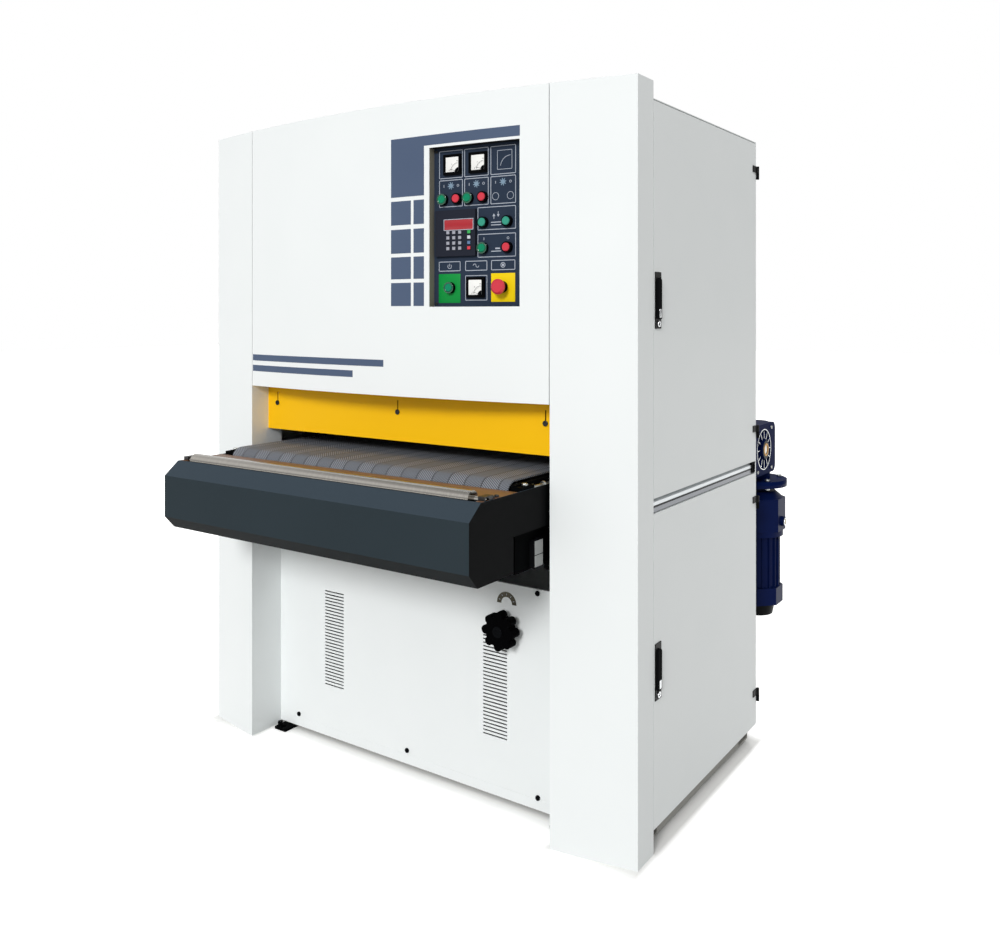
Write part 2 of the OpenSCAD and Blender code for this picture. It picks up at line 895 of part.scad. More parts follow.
// Sanding heads: a wall on the left carries two beams, with drum hangers, tension cylinders,
// clamps to the door-side frame and the brackets of the pressure rollers
drum_half = drum_l / 2;
end_gap = 6;
wall_x1 = work_x - drum_half - end_gap;
wall_x0 = wall_x1 - wall_t;
hanger_t = 20;
hanger_x0 = work_x + drum_half + end_gap;
hanger_x1 = hanger_x0 + hanger_t;
beam_z0 = drum_z + (head_c - beam_h) / 2 - tension_stroke;
beam_z1 = beam_z0 + beam_h;
cylinder_r = 45;
clamp_h = 50;
press_z = sand_z + guard_drop + press_r;
press_pin_r = 10;
press_y = [cab_front_y + post_w / 2, rear_face_y - post_w / 2];
bracket_t = 14;
bracket_d = 44;
half_press = half_belt;

module head_frame() {
  color("steelblue") {
    difference() {
      slab([wall_x0, cab_front_y + post_w, beam_low_z], [wall_x1, rear_face_y - post_w, roof_z - sheet_t]);
      for (y = head_y) {
        rod_x(drum_shaft_r + run_fit, wall_x0 - overrun, wall_x1 + overrun, y, drum_z);
      }
    }
    for (y = head_y) head_beam(y);
    for (y = press_y, sx = [-1, 1]) press_bracket(y, sx);
  }
}

module head_beam(y) {
  clamp_z = drum_z + head_c / 2;
  tube_bar([wall_x1, y - beam_d / 2, beam_z0], [hanger_x0, y + beam_d / 2, beam_z1], 0);
  difference() {
    slab([hanger_x0, y - beam_d / 2, drum_z - 2 * drum_shaft_r], [hanger_x1, y + beam_d / 2, beam_z1]);
    rod_x(drum_shaft_r + run_fit, hanger_x0 - overrun, hanger_x1 + overrun, y, drum_z);
  }
  slab([hanger_x1, y - clamp_h / 2, clamp_z - clamp_h / 2], [post_in, y + clamp_h / 2, clamp_z + clamp_h / 2]);
  difference() {
    rod_z(cylinder_r, beam_z1, cylinder_z1, work_x, y);
    rod_z(rod_r + run_fit, beam_z1 + frame_wall, cylinder_z1 + overrun, work_x, y);
  }
}

module press_bracket(y, side) {
  x0 = side > 0 ? work_x + half_press + end_gap : work_x - half_press - end_gap - bracket_t;
  difference() {
    slab(
      [x0, y - bracket_d / 2, press_z - bracket_d / 3],
      [x0 + bracket_t, y + bracket_d / 2, beam_low_z]
    );
    rod_x(press_pin_r + run_fit, x0 - overrun, x0 + bracket_t + overrun, y, press_z);
  }
}

// Abrasive belts round drum and tension roller
module abrasive(y) {
  translate([0, y, drum_z])
  along_x(work_x - drum_half, work_x + drum_half)
  loop_band(drum_r + fit_gap, tension_r + fit_gap, head_c, abrasive_t);
}

module front_abrasive() {
  color("saddlebrown") abrasive(head_y[0]);
}

module rear_abrasive() {
  color("saddlebrown") abrasive(head_y[1]);
}

// Contact drums with shaft and drive pulley in one turning piece
bay_room = 4;
pulley_x1 = min(wall_x0 - 2 * end_gap, left_in - bay_room);
pulley_x0 = pulley_x1 - pulley_w;
groove_n = 4;
groove_d = 7;
groove_shares = [0.15, 0.4, 0.6, 0.85];
drum_groove_n = 24;
drum_groove_w = 8;
drum_groove_d = 4;
drum_wall = 24;
drum_end = 30;

// Grooved pulley outline, axis up
module pulley_area(r, bore_r) {
  step = pulley_w / groove_n;
  polygon(concat(
    [[bore_r, 0], [r, 0]],
    [for (i = [0:groove_n - 1], k = [0:len(groove_shares) - 1])
      [k == 1 || k == 2 ? r - groove_d : r, (i + groove_shares[k]) * step]],
    [[r, pulley_w], [bore_r, pulley_w]]
  ));
}

module pulley(r, bore_r, y, z) {
  translate([pulley_x0, y, z]) rotate([0, 90, 0]) rotate_extrude($fn = 2 * rounds) pulley_area(r, bore_r);
}

module drum(y) {
  difference() {
    union() {
      rod_x(drum_r, work_x - drum_half, work_x + drum_half, y, drum_z);
      rod_x(drum_shaft_r, pulley_x0, hanger_x1, y, drum_z);
      pulley(drum_pulley_r, 0, y, drum_z);
    }
    for (i = [0:drum_groove_n - 1]) {
      translate([work_x, y, drum_z]) rotate([i * 360 / drum_groove_n, 0, 0])
        translate([-drum_half - overrun, -drum_groove_w / 2, drum_r - drum_groove_d])
        cube([drum_l + 2 * overrun, drum_groove_w, drum_groove_d + overrun]);
    }
    difference() {
      rod_x(drum_r - drum_wall, work_x - drum_half + drum_end, work_x + drum_half - drum_end, y, drum_z);
      rod_x(drum_shaft_r, work_x - drum_half, work_x + drum_half, y, drum_z);
    }
  }
}

module front_drum() {
  color("dimgray") drum(head_y[0]);
}

module rear_drum() {
  color("dimgray") drum(head_y[1]);
}

// Tension yokes: a rod in the cylinder, a bar and two ears for the roller
yoke_bar_h = 44;
yoke_bar_d = 60;
ear_t = 14;
ear_x = drum_half - ear_t;
tension_half = ear_x - end_gap;
tension_pin_r = 12;
yoke_room = 6;
yoke_z1 = tension_z - tension_r - yoke_room;
yoke_z0 = yoke_z1 - yoke_bar_h;
cylinder_z1 = yoke_z0 - tension_stroke - yoke_room;

module yoke(y) {
  difference() {
    union() {
      slab(
        [work_x - ear_x - ear_t, y - yoke_bar_d / 2, yoke_z0],
        [work_x + ear_x + ear_t, y + yoke_bar_d / 2, yoke_z1]
      );
      for (x0 = [work_x - ear_x - ear_t, work_x + ear_x]) {
        slab(
          [x0, y - yoke_bar_d / 2, yoke_z0],
          [x0 + ear_t, y + yoke_bar_d / 2, tension_z + yoke_bar_d / 2]
        );
      }
      rod_z(rod_r, beam_z1 + frame_wall + tension_stroke + yoke_room, yoke_z1 - yoke_room, work_x, y);
    }
    rod_x(tension_pin_r + run_fit, work_x - ear_x - ear_t - overrun, work_x + ear_x + ear_t + overrun, y, tension_z);
  }
}

module front_yoke() {
  color("slateblue") yoke(head_y[0]);
}

module rear_yoke() {
  color("slateblue") yoke(head_y[1]);
}

// Tension rollers: steel tubes with end plugs and journals
tube_wall = 8;
plug_w = 20;

module plugged_tube(r, half_l, pin_r, reach) {
  rotate([0, 90, 0])
  rotate_extrude($fn = 2 * rounds)
  polygon([
    [0, -half_l - reach],
    [pin_r, -half_l - reach],
    [pin_r, -half_l],
    [r, -half_l],
    [r, half_l],
    [pin_r, half_l],
    [pin_r, half_l + reach],
    [0, half_l + reach],
    [0, half_l - plug_w],
    [r - tube_wall, half_l - plug_w],
    [r - tube_wall, plug_w - half_l],
    [0, plug_w - half_l]
  ]);
}

module tension_roller(y) {
  translate([work_x, y, tension_z])
    plugged_tube(tension_r, tension_half, tension_pin_r, end_gap + ear_t);
}

module front_tension_roller() {
  color("silver") tension_roller(head_y[0]);
}

module rear_tension_roller() {
  color("silver") tension_roller(head_y[1]);
}

// Rubber-covered pressure rollers before and after the heads
module press_roller(y) {
  translate([work_x, y, press_z])
    plugged_tube(press_r, half_press, press_pin_r, end_gap + bracket_t);
}

module infeed_pressure_roller() {
  color("dimgray") press_roller(press_y[0]);
}

module outfeed_pressure_roller() {
  color("dimgray") press_roller(press_y[1]);
}

// Main motors in the base, on feet, with their shafts towards the pulleys
motor_x0 = pulley_x1 + 2 * end_gap + wall_t;
motor_foot_in = 90;
motor_foot_x = [motor_x0 + motor_foot_in, motor_x0 + motor_l - motor_foot_in];
fin_n = 28;
fin_h = 9;
fin_w = 4;
boss_l = 24;
terminal_w = 110;
terminal_h = 45;

module main_motor(y) {
  core_r = motor_r - fin_h;
  difference() {
    union() {
      rod_x(core_r, motor_x0, motor_x0 + motor_l, y, motor_z);
      rod_x(motor_r, motor_x0, motor_x0 + boss_l, y, motor_z);
      rod_x(motor_r, motor_x0 + motor_l - 2 * boss_l, motor_x0 + motor_l, y, motor_z);
      rod_x(2 * motor_shaft_r, motor_x0 - boss_l, motor_x0, y, motor_z);
      for (i = [0:fin_n - 1]) {
        translate([motor_x0, y, motor_z]) rotate([i * 360 / fin_n, 0, 0])
          translate([0, -fin_w / 2, core_r - fin_w]) cube([motor_l - boss_l, fin_w, fin_h + fin_w - sheet_t]);
      }
      for (x = motor_foot_x) {
        slab(
          [x - post_w / 2, y - motor_foot_w / 2, floor_rail_z],
          [x + post_w / 2, y + motor_foot_w / 2, motor_z - core_r / 2]
        );
      }
      slab(
        [motor_x0 + 2 * boss_l, y - terminal_w / 2, motor_z + core_r - fin_h],
        [motor_x0 + 2 * boss_l + terminal_w, y + terminal_w / 2, motor_z + motor_r + terminal_h]
      );
    }
    rod_x(motor_shaft_r + run_fit, motor_x0 - boss_l - overrun, motor_x0 + 2 * boss_l, y, motor_z);
  }
}

module main_motors() {
  color("royalblue") for (y = head_y) main_motor(y);
}

// Motor pulleys with their shafts
module motor_pulley(y) {
  pulley(motor_pulley_r, 0, y, motor_z);
  rod_x(motor_shaft_r, pulley_x0, motor_x0 + boss_l, y, motor_z);
}

module front_motor_pulley() {
  color("gray") motor_pulley(head_y[0]);
}

module rear_motor_pulley() {
  color("gray") motor_pulley(head_y[1]);
}

// Drive belts from the motors up to the drums
module drive_belts() {
  color("black")
  for (y = head_y) {
    translate([0, y, motor_z])
      along_x(pulley_x0, pulley_x1)
      loop_band(motor_pulley_r + fit_gap, drum_pulley_r + fit_gap, drum_z - motor_z, vee_t);
  }
}

// Electrical plate behind the lower door, with rows of contactors and two cable ducts
plate_t = 3;
contactor = [32, 45, 75];
contactor_n = 7;
contactor_step = 62;
row_shares = [0.3, 0.55, 0.8];
duct_h = 40;
plate_rise = 60;
duct_set = 15;

module electrical_panel() {
  x0 = post_in + plate_t;
  y0 = cab_front_y + post_w;
  y1 = rear_face_y - post_w;
  z0 = floor_rail_z + plate_rise;
  z1 = rail_z - plate_rise;
  row_l = (contactor_n - 1) * contactor_step + contactor[1];
  color("lightgray") {
    slab([x0, y0, z0], [x0 + plate_t, y1, z1]);
    for (share = row_shares, i = [0:contactor_n - 1]) {
      translate([x0 + plate_t, -row_l / 2 + i * contactor_step, z0 + share * (z1 - z0) - contactor[2] / 2])
        cube(contactor);
    }
    for (z = [z0 + duct_set, z1 - duct_set - duct_h]) {
      slab([x0 + plate_t, -row_l / 2, z], [x0 + plate_t + duct_h / 2, row_l / 2, z + duct_h]);
    }
  }
}

// Chain round the four screw sprockets, and the gear case between hand knob and chain
chain_t = 6;
chain_h = 10;
sprocket_z = floor_rail_z + bearing_h + fit_gap;
case_w = 80;
case_d = 70;
case_back = 38;
case_y0 = cab_front_y + case_back;
case_leg_r = 26;
lift_motor_r = 45;
lift_motor_l = 150;

module chain_area(r) {
  w = 2 * lift_x;
  d = screw_y[1] - screw_y[0];
  square([w, d + 2 * r], center = true);
  square([w + 2 * r, d], center = true);
  for (sx = [-1, 1], sy = [-1, 1]) translate([sx * w / 2, sy * d / 2]) circle(r = r, $fn = rounds);
}

module lift_drive() {
  mid_y = (screw_y[0] + screw_y[1]) / 2;
  color("darkslategray") {
    translate([work_x, mid_y, sprocket_z])
    linear_extrude(height = chain_h)
    difference() {
      chain_area(sprocket_r + fit_gap + chain_t);
      chain_area(sprocket_r + fit_gap);
    }
    difference() {
      slab(
        [knob_x - case_w / 2, case_y0, knob_z - case_w / 2],
        [knob_x + case_w / 2, case_y0 + case_d, knob_z + case_w / 2]
      );
      rod_y(knob_shaft_r + run_fit, case_y0 - overrun, case_y0 + case_d / 2, knob_x, knob_z);
    }
    rod_z(case_leg_r, floor_rail_z, knob_z - case_w / 2, knob_x, screw_y[0]);
    rod_y(lift_motor_r, case_y0 + case_d, case_y0 + case_d + lift_motor_l, knob_x, knob_z);
  }
}

// Hand knob with round lobes, on its shaft
knob_t = 30;
knob_stand = 24;
lobe_r = 12;
hub_r = 22;

module hand_knob() {
  y1 = cab_front_y - sheet_t - knob_stand;
  color("black") {
    translate([knob_x, y1, knob_z]) rotate([90, 0, 0]) linear_extrude(height = knob_t) {
      circle(r = knob_r - lobe_r, $fn = rounds);
      for (i = [0:knob_lobes - 1]) {
        rotate([0, 0, i * 360 / knob_lobes]) translate([knob_r - lobe_r, 0]) circle(r = lobe_r, $fn = rounds);
      }
    }
    rod_y(hub_r, y1 - knob_t, y1 + knob_stand / 2, knob_x, knob_z);
    rod_y(knob_shaft_r, y1, case_y0 + case_d / 2 - overrun, knob_x, knob_z);
  }
}

// Lift screws with sprockets, standing in the floor bearings
screw_neck = 5;
screw_top_z = bed_z + cross_h + overrun;

module lift_screw(sx, i) {
  x = work_x + sx * lift_x;
  color("silver") {
    rod_z(screw_r - screw_neck, floor_rail_z, sprocket_z, x, screw_y[i]);
    rod_z(sprocket_r, sprocket_z, sprocket_z + chain_h, x, screw_y[i]);
    rod_z(screw_r, sprocket_z + chain_h, screw_top_z, x, screw_y[i]);
  }
}

module left_front_screw() { lift_screw(-1, 0); }
module right_front_screw() { lift_screw(1, 0); }
module left_rear_screw() { lift_screw(-1, 1); }
module right_rear_screw() { lift_screw(1, 1); }

// Table bed: side plates, bed plate inside the belt, cross tubes with lift nuts, bearing blocks
bed_front_y = conv_front_y - 2 * roller_shaft_r;
bed_rear_y = conv_rear_y + 2 * roller_shaft_r;
block_d = 60;
block_h = 50;
screw_room = 3;
spacer_back = 177;
spacer_y = conv_front_y + spacer_back;

module table_bed() {
  color("darkslategray") {
    for (sx = [-1, 1]) {
      x0 = sx < 0 ? work_x - plate_out : work_x + plate_in;
      difference() {
        slab([x0, bed_front_y, bed_z], [x0 + bed_side_t, bed_rear_y, bed_z + bed_side_h]);
        for (y = [conv_front_y, conv_rear_y]) {
          rod_x(roller_shaft_r + run_fit, x0 - overrun, x0 + bed_side_t + overrun, y, roller_z);
        }
      }
    }
    slab(
      [work_x - plate_in, conv_front_y + 2 * roller_r, bed_top_z - bed_plate_t],
      [work_x + plate_in, conv_rear_y - 2 * roller_r, bed_top_z]
    );
    for (y = screw_y) {
      difference() {
        tube_bar([work_x - plate_in, y - rail_d / 2, bed_z], [work_x + plate_in, y + rail_d / 2, bed_z + cross_h], 0);
        for (sx = [-1, 1]) {
          rod_z(screw_r + screw_room, bed_z - overrun, bed_z + cross_h + overrun, work_x + sx * lift_x, y);
        }
      }
      for (sx = [-1, 1]) lift_nut(work_x + sx * lift_x, y);
    }
    for (sx = [-1, 1]) {
      bearing_block(sx, conv_front_y);
      spacer_block(sx);
    }
    bearing_block(-1, conv_rear_y);
  }
}

module lift_nut(x, y) {
  difference() {
    rod_z(nut_r, bed_z - nut_h, bed_z, x, y);
    rod_z(screw_r + run_fit, bed_z - nut_h - overrun, bed_z + overrun, x, y);
  }
}

module bearing_block(side, y) {
  x0 = side > 0 ? work_x + plate_out : work_x - box_in;
  difference() {
    slab(
      [x0, y - block_d / 2, roller_z - block_h / 2],
      [x0 + bearing_w, y + block_d / 2, roller_z + block_h / 2]
    );
    rod_x(roller_shaft_r + run_fit, x0 - overrun, x0 + bearing_w + overrun, y, roller_z);
  }
}

module spacer_block(side) {
  x0 = side > 0 ? work_x + plate_out : work_x - box_in;
  slab(
    [x0, spacer_y - block_d / 4, roller_z - block_h / 2],
    [x0 + bearing_w, spacer_y + block_d / 4, roller_z + block_h / 2]
  );
}

// Infeed box: folded sheet with slanted front edges, open at the top and cut away low at the back
box_top_z = belt_top_z - box_drop;
box_z = box_top_z - box_h;
box_y = conv_front_y - box_reach;
box_back = 195;
box_cut_front = 67;
box_cut_drop = 102;
box_rear_y = conv_front_y + box_back;
box_cut_y = conv_front_y - box_cut_front;
box_cut_z = box_top_z - box_cut_drop;
box_lip = 6;

module box_outline() {
  polygon([
    [box_rear_y, box_top_z],
    [box_y + top_slant_d, box_top_z],
    [box_y, box_top_z - top_slant_h],
    [box_y, box_z + low_slant_h],
    [box_y + low_slant_d, box_z],
    [box_cut_y, box_z],
    [box_cut_y, box_cut_z],
    [box_rear_y, box_cut_z]
  ]);
}

// Inside of the box: each face moved in by the sheet's thickness
module box_hollow() {
  top_turn = atan2(top_slant_h, top_slant_d);
  low_turn = atan2(low_slant_h, low_slant_d);
  lip_y = box_y + top_slant_d + box_lip;
  polygon([
    [box_rear_y + overrun, box_top_z + overrun],
    [lip_y, box_top_z + overrun],
    [lip_y, box_top_z - box_t],
    [box_y + top_slant_d + box_t * tan(top_turn / 2), box_top_z - box_t],
    [box_y + box_t, box_top_z - top_slant_h - box_t * tan((90 - top_turn) / 2)],
    [box_y + box_t, box_z + low_slant_h + box_t * tan((90 - low_turn) / 2)],
    [box_y + low_slant_d + box_t * tan(low_turn / 2), box_z + box_t],
    [box_rear_y + overrun, box_z + box_t]
  ]);
}

module infeed_box() {
  color("darkslategray")
  difference() {
    along_x(work_x - half_table, work_x + half_table) box_outline();
    along_x(work_x - box_in, work_x + box_in) box_hollow();
  }
}

// Top plate behind the infeed roller, with the roller's end brackets
lip_room = 2;
infeed_y = box_y + top_slant_d + box_lip + infeed_r + lip_room;
infeed_z = belt_top_z - infeed_r;
infeed_room = 4;
infeed_short = 4;
infeed_half = half_belt - infeed_short;
bracket_top = 2;
belt_front_room = 8;

module infeed_plate() {
  plate_y0 = infeed_y + infeed_r + infeed_room;
  plate_y1 = conv_front_y - roller_r - belt_t - belt_front_room;
  color("rosybrown") {
    slab([work_x - box_in, plate_y0, box_top_z - box_t], [work_x + box_in, plate_y1, box_top_z]);
    for (sx = [-1, 1]) {
      x0 = sx > 0 ? work_x + plate_out : work_x - box_in;
      difference() {
        union() {
          slab(
            [x0, infeed_y - infeed_r / 2, infeed_z - infeed_r],
            [x0 + bearing_w, plate_y0, infeed_z + infeed_pin_r + bracket_top]
          );
          slab([x0, infeed_y - infeed_r, box_top_z - box_t], [x0 + bearing_w, plate_y0, box_top_z]);
        }
        rod_x(infeed_pin_r + run_fit, x0 - overrun, x0 + bearing_w + overrun, infeed_y, infeed_z);
      }
    }
  }
}

module infeed_roller() {
  color("silver")
  translate([work_x, infeed_y, infeed_z])
    plugged_tube(infeed_r, infeed_half, infeed_pin_r, box_in - infeed_half - infeed_room);
}

// Conveyor belt round its two rollers
module conveyor_belt() {
  color("gray")
  translate([0, conv_rear_y, roller_z])
  along_x(work_x - half_belt, work_x + half_belt)
  rotate([0, 0, 90])
  loop_band(roller_r + fit_gap, roller_r + fit_gap, conv_rear_y - conv_front_y, belt_t);
}

module idler_roller() {
  color("silver")
  translate([work_x, conv_front_y, roller_z])
    plugged_tube(roller_r, half_belt, roller_shaft_r, box_in - half_belt - infeed_room);
}

// Drive roller, with its shaft running on into the gearbox
gear_x0 = work_x + plate_out + sleeve_l;
gear_x1 = gear_x0 + gear_w;
hub_t = 6;

module drive_roller() {
  color("silver") {
    translate([work_x, conv_rear_y, roller_z])
      plugged_tube(roller_r, half_belt, roller_shaft_r, box_in - half_belt - infeed_room);
    rod_x(roller_shaft_r, work_x + half_belt, gear_x1 + hub_t, conv_rear_y, roller_z);
  }
}

// Worm gearbox on the drive roller's end: cast case, ribbed hub, worm housing and input flange
gear_round = 24;
hub_flange_r = 62;
hub_inner_r = 30;
hub_rib_n = 12;
hub_rib_w = 4;
worm_r = 40;
gear_flange_t = 12;
gear_neck_r = 46;
gear_neck_h = 24;
sleeve_r = 46;
worm_y = conv_rear_y + gear_offset;
gear_z0 = roller_z - gear_h / 2;
gear_z1 = roller_z + gear_h / 2;
gear_mid_x = (gear_x0 + gear_x1) / 2;
input_z = gear_z0 - gear_neck_h - gear_flange_t;
gear_front = 80;

module feed_gearbox() {
  color("navy")
  difference() {
    union() {
      translate([0, conv_rear_y - gear_front + gear_l / 2, roller_z])
        along_x(gear_x0, gear_x1) round_rect(gear_l, gear_h, gear_round);
      rod_z(worm_r, gear_z0, gear_z1, gear_mid_x, worm_y);
      rod_z(gear_neck_r, gear_z0 - gear_neck_h, gear_z0, gear_mid_x, worm_y);
      rod_z(flange_r, input_z, gear_z0 - gear_neck_h, gear_mid_x, worm_y);
      rod_x(sleeve_r, work_x + plate_out, gear_x0, conv_rear_y, roller_z);
      rod_x(hub_inner_r, gear_x1 - hub_t, gear_x1 + hub_t, conv_rear_y, roller_z);
      for (i = [0:hub_rib_n - 1]) {
        translate([gear_x1 - 2 * hub_t, conv_rear_y, roller_z]) rotate([i * 360 / hub_rib_n, 0, 0])
          translate([0, -hub_rib_w / 2, hub_inner_r - hub_rib_w])
          cube([2 * hub_t, hub_rib_w, hub_flange_r - hub_inner_r + 2 * hub_rib_w]);
      }
    }
    difference() {
      rod_x(hub_flange_r, gear_x1 - hub_t, gear_x1 + overrun, conv_rear_y, roller_z);
      rod_x(hub_inner_r, gear_x1 - 2 * hub_t, gear_x1 + 2 * overrun, conv_rear_y, roller_z);
      for (i = [0:hub_rib_n - 1]) {
        translate([gear_x1 - 2 * hub_t, conv_rear_y, roller_z]) rotate([i * 360 / hub_rib_n, 0, 0])
          translate([0, -hub_rib_w / 2, 0]) cube([2 * hub_t, hub_rib_w, hub_flange_r + overrun]);
      }
    }
    rod_x(roller_shaft_r + run_fit, work_x + plate_out - overrun, gear_x1 + 2 * overrun, conv_rear_y, roller_z);
  }
}

// Variator and finned motor hanging below the gearbox, in one unit: flange and neck, a
// cone-shouldered eight-sided case with sight plug and terminal box, and the motor with its cowl
variator_r = 88;
shoulder_r = 62;
shoulder_h = 22;
chin_h = 18;
flange_plate_t = 10;
variator_neck_h = 17;
plug_r = 16;
plug_out = 10;
feed_fin_n = 20;
feed_fin_h = 6;
cowl_over = 8;
cowl_h = 55;
fan_h = 40;
fan_in = 10;
fan_taper = 8;
terminal_out = 24;

// Regular eight-sided outline with the given distance from middle to flat
module octagon(flat) {
  rotate([0, 0, 180 / 8]) circle(r = flat / cos(180 / 8), $fn = 8);
}

module feed_motor() {
  neck_z = input_z - flange_plate_t - variator_neck_h;
  case_z = neck_z - shoulder_h;
  z2 = neck_z - variator_h;
  z3 = z2 - feed_motor_l;
  core_r = feed_motor_r;
  color("navy") {
    rod_z(flange_r, input_z - flange_plate_t, input_z, gear_mid_x, worm_y);
    rod_z(gear_neck_r, neck_z, input_z - flange_plate_t, gear_mid_x, worm_y);
    translate([gear_mid_x, worm_y, case_z])
      cylinder(r1 = variator_r, r2 = shoulder_r, h = shoulder_h, $fn = rounds);
    rod_z(variator_r, z2, case_z, gear_mid_x, worm_y);
    translate([gear_mid_x, worm_y, z2 + chin_h])
      linear_extrude(height = case_z - chin_h - z2) octagon(variator_r);
    rod_x(plug_r, gear_mid_x, gear_mid_x + variator_r + plug_out, worm_y, z2 + variator_h / 3);
    slab(
      [gear_mid_x - shoulder_r / 2, worm_y, z2 + chin_h + plug_out],
      [gear_mid_x + shoulder_r / 2, worm_y + variator_r + terminal_out, case_z - plug_out]
    );
    rod_z(core_r, z3, z2, gear_mid_x, worm_y);
    for (i = [0:feed_fin_n - 1]) {
      translate([gear_mid_x, worm_y, z3 + cowl_h]) rotate([0, 0, i * 360 / feed_fin_n])
        translate([core_r - hub_t, -hub_rib_w / 2, 0]) cube([feed_fin_h + hub_t, hub_rib_w, feed_motor_l - cowl_h]);
    }
    translate([gear_mid_x, worm_y, z3]) linear_extrude(height = cowl_h) octagon(core_r + cowl_over);
    translate([gear_mid_x, worm_y, z3 - fan_h])
      cylinder(r1 = core_r - fan_in - fan_taper, r2 = core_r - fan_in, h = fan_h, $fn = rounds);
  }
}

// Limit switch on the bed's right side plate
switch_w = 14;
switch_d = 41;
switch_h = 68;
switch_back = 35;
switch_y = conv_front_y + switch_back;
switch_rise = 3;

module table_switch() {
  x0 = work_x + plate_out;
  color("darkgray") {
    slab([x0, switch_y, bed_z + switch_rise], [x0 + switch_w, switch_y + switch_d, bed_z + switch_rise + switch_h]);
    rod_z(switch_w / 3, bed_z + switch_rise + switch_h, bed_z + 2 * switch_rise + switch_h, x0 + switch_w / 2, switch_y + switch_d / 2);
  }
}

base_frame();
floor_pads();
left_column();
right_column();
front_cover();
roof();
left_panel();
rear_panel();
lower_panel();
guard_plate();
side_rail();
control_panel();
panel_fittings();
door_hinges();
head_frame();
front_abrasive();
rear_abrasive();
main_motors();
drive_belts();
electrical_panel();
lift_drive();
front_sander_start();
front_sander_stop();
rear_sander_start();
rear_sander_stop();
table_up();
table_down();
feed_start();
feed_stop();
power_on();
emergency_stop();
hand_knob();
table_bed();
infeed_box();
infeed_plate();
conveyor_belt();
feed_gearbox();
feed_motor();
table_switch();
infeed_roller();
idler_roller();
drive_roller();
left_front_screw();
right_front_screw();
left_rear_screw();
right_rear_screw();
upper_door();
lower_door();
upper_lever();
lower_lever();
front_drum();
rear_drum();
front_yoke();
rear_yoke();
front_tension_roller();
rear_tension_roller();
front_motor_pulley();
rear_motor_pulley();
infeed_pressure_roller();
outfeed_pressure_roller();
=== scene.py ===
import math

import bmesh
import bpy
from mathutils import Matrix, Vector


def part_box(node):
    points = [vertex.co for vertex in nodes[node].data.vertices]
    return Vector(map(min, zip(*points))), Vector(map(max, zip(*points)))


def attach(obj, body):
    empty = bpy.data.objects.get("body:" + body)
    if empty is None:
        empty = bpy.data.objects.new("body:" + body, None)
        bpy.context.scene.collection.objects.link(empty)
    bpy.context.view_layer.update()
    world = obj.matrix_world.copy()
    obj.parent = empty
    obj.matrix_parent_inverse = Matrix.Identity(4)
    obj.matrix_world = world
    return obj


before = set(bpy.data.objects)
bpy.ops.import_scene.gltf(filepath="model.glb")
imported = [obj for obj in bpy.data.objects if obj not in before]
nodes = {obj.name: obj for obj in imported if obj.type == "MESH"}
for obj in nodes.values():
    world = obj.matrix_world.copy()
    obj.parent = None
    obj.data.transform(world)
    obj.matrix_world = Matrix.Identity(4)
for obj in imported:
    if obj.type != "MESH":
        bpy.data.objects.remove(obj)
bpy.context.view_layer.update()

scene = bpy.context.scene
scene.view_settings.view_transform = "Standard"
mm = 0.001
print("frame loaded,", len(nodes), "nodes")


def linear(hexColour):  # sRGB hex to linear colour
    parts = [int(hexColour[i:i + 2], 16) / 255 for i in (1, 3, 5)]
    return [p / 12.92 if p <= 0.04045 else ((p + 0.055) / 1.055) ** 2.4 for p in parts] + [1]


def perMetre(size):  # texture scale of a pattern whose grain is this many millimetres
    return 1 / (size * mm)


def addNode(tree, kind, values=None, links=None, **settings):
    node = tree.nodes.new(kind)
    for name, value in settings.items():
        setattr(node, name, value)
    for socket, value in (values or {}).items():
        node.inputs[socket].default_value = value
    for socket, source in (links or {}).items():
        tree.links.new(source, node.inputs[socket])
    return node


# camera: level, at the photograph's standpoint front right of the machine
view = {"place": (1.7613, -2.4795, 1.32865), "turn": 34.57, "lens": 33.846, "sensor": 36, "shift": -0.1538}
camera = bpy.data.objects.new("camera", bpy.data.cameras.new("camera"))
scene.collection.objects.link(camera)
camera.location = view["place"]
camera.rotation_euler = (math.radians(90), 0, math.radians(view["turn"]))
camera.data.lens = view["lens"]
camera.data.sensor_width = view["sensor"]
camera.data.shift_y = view["shift"]
scene.camera = camera

# studio: white floor and surroundings, an even soft key far in front and a weaker lamp behind
studio = {
    "floorSize": 60, "floorColour": "#F4F4F2", "floorBounce": "#B4B4B2",
    "floorGlow": (0.42, 0.7), "glowFrom": (-0.2, 0.9),
    "feet": [(-762.5, 762.5, -366, 366), (-762.5, -557.5, -452, -366), (540.5, 762.5, -452, -366)],
    "contact": {"X": 20, "Y": 70},
    "fill": 0.62, "softbox": (0.45, 0.05, 0.35), "roomShade": 0.5,
    "key": 1.85, "keyFrom": (0.195, -0.888, 0.416), "back": 0.5, "backFrom": (-0.45, 0.6, 0.66),
    "lampSpread": 15,
}
bpy.ops.object.select_all(action="DESELECT")
bpy.ops.mesh.primitive_plane_add(size=studio["floorSize"])
floor = bpy.context.object
floor.name = "studioFloor"

paper = bpy.data.materials.new("paperSweep")  # matt white paper: keeps the soft contact shadow, else white
paper.use_nodes = True
tree = paper.node_tree
tree.nodes.clear()
rays = addNode(tree, "ShaderNodeLightPath")
seen = addNode(tree, "ShaderNodeMath", operation="MAXIMUM",
               links={0: rays.outputs["Is Camera Ray"], 1: rays.outputs["Is Glossy Ray"]})
seen = addNode(tree, "ShaderNodeMath", operation="MAXIMUM",
               links={0: seen.outputs[0], 1: rays.outputs["Is Transmission Ray"]})
spot = addNode(tree, "ShaderNodeSeparateXYZ",
               links={0: addNode(tree, "ShaderNodeTexCoord").outputs["Object"]})
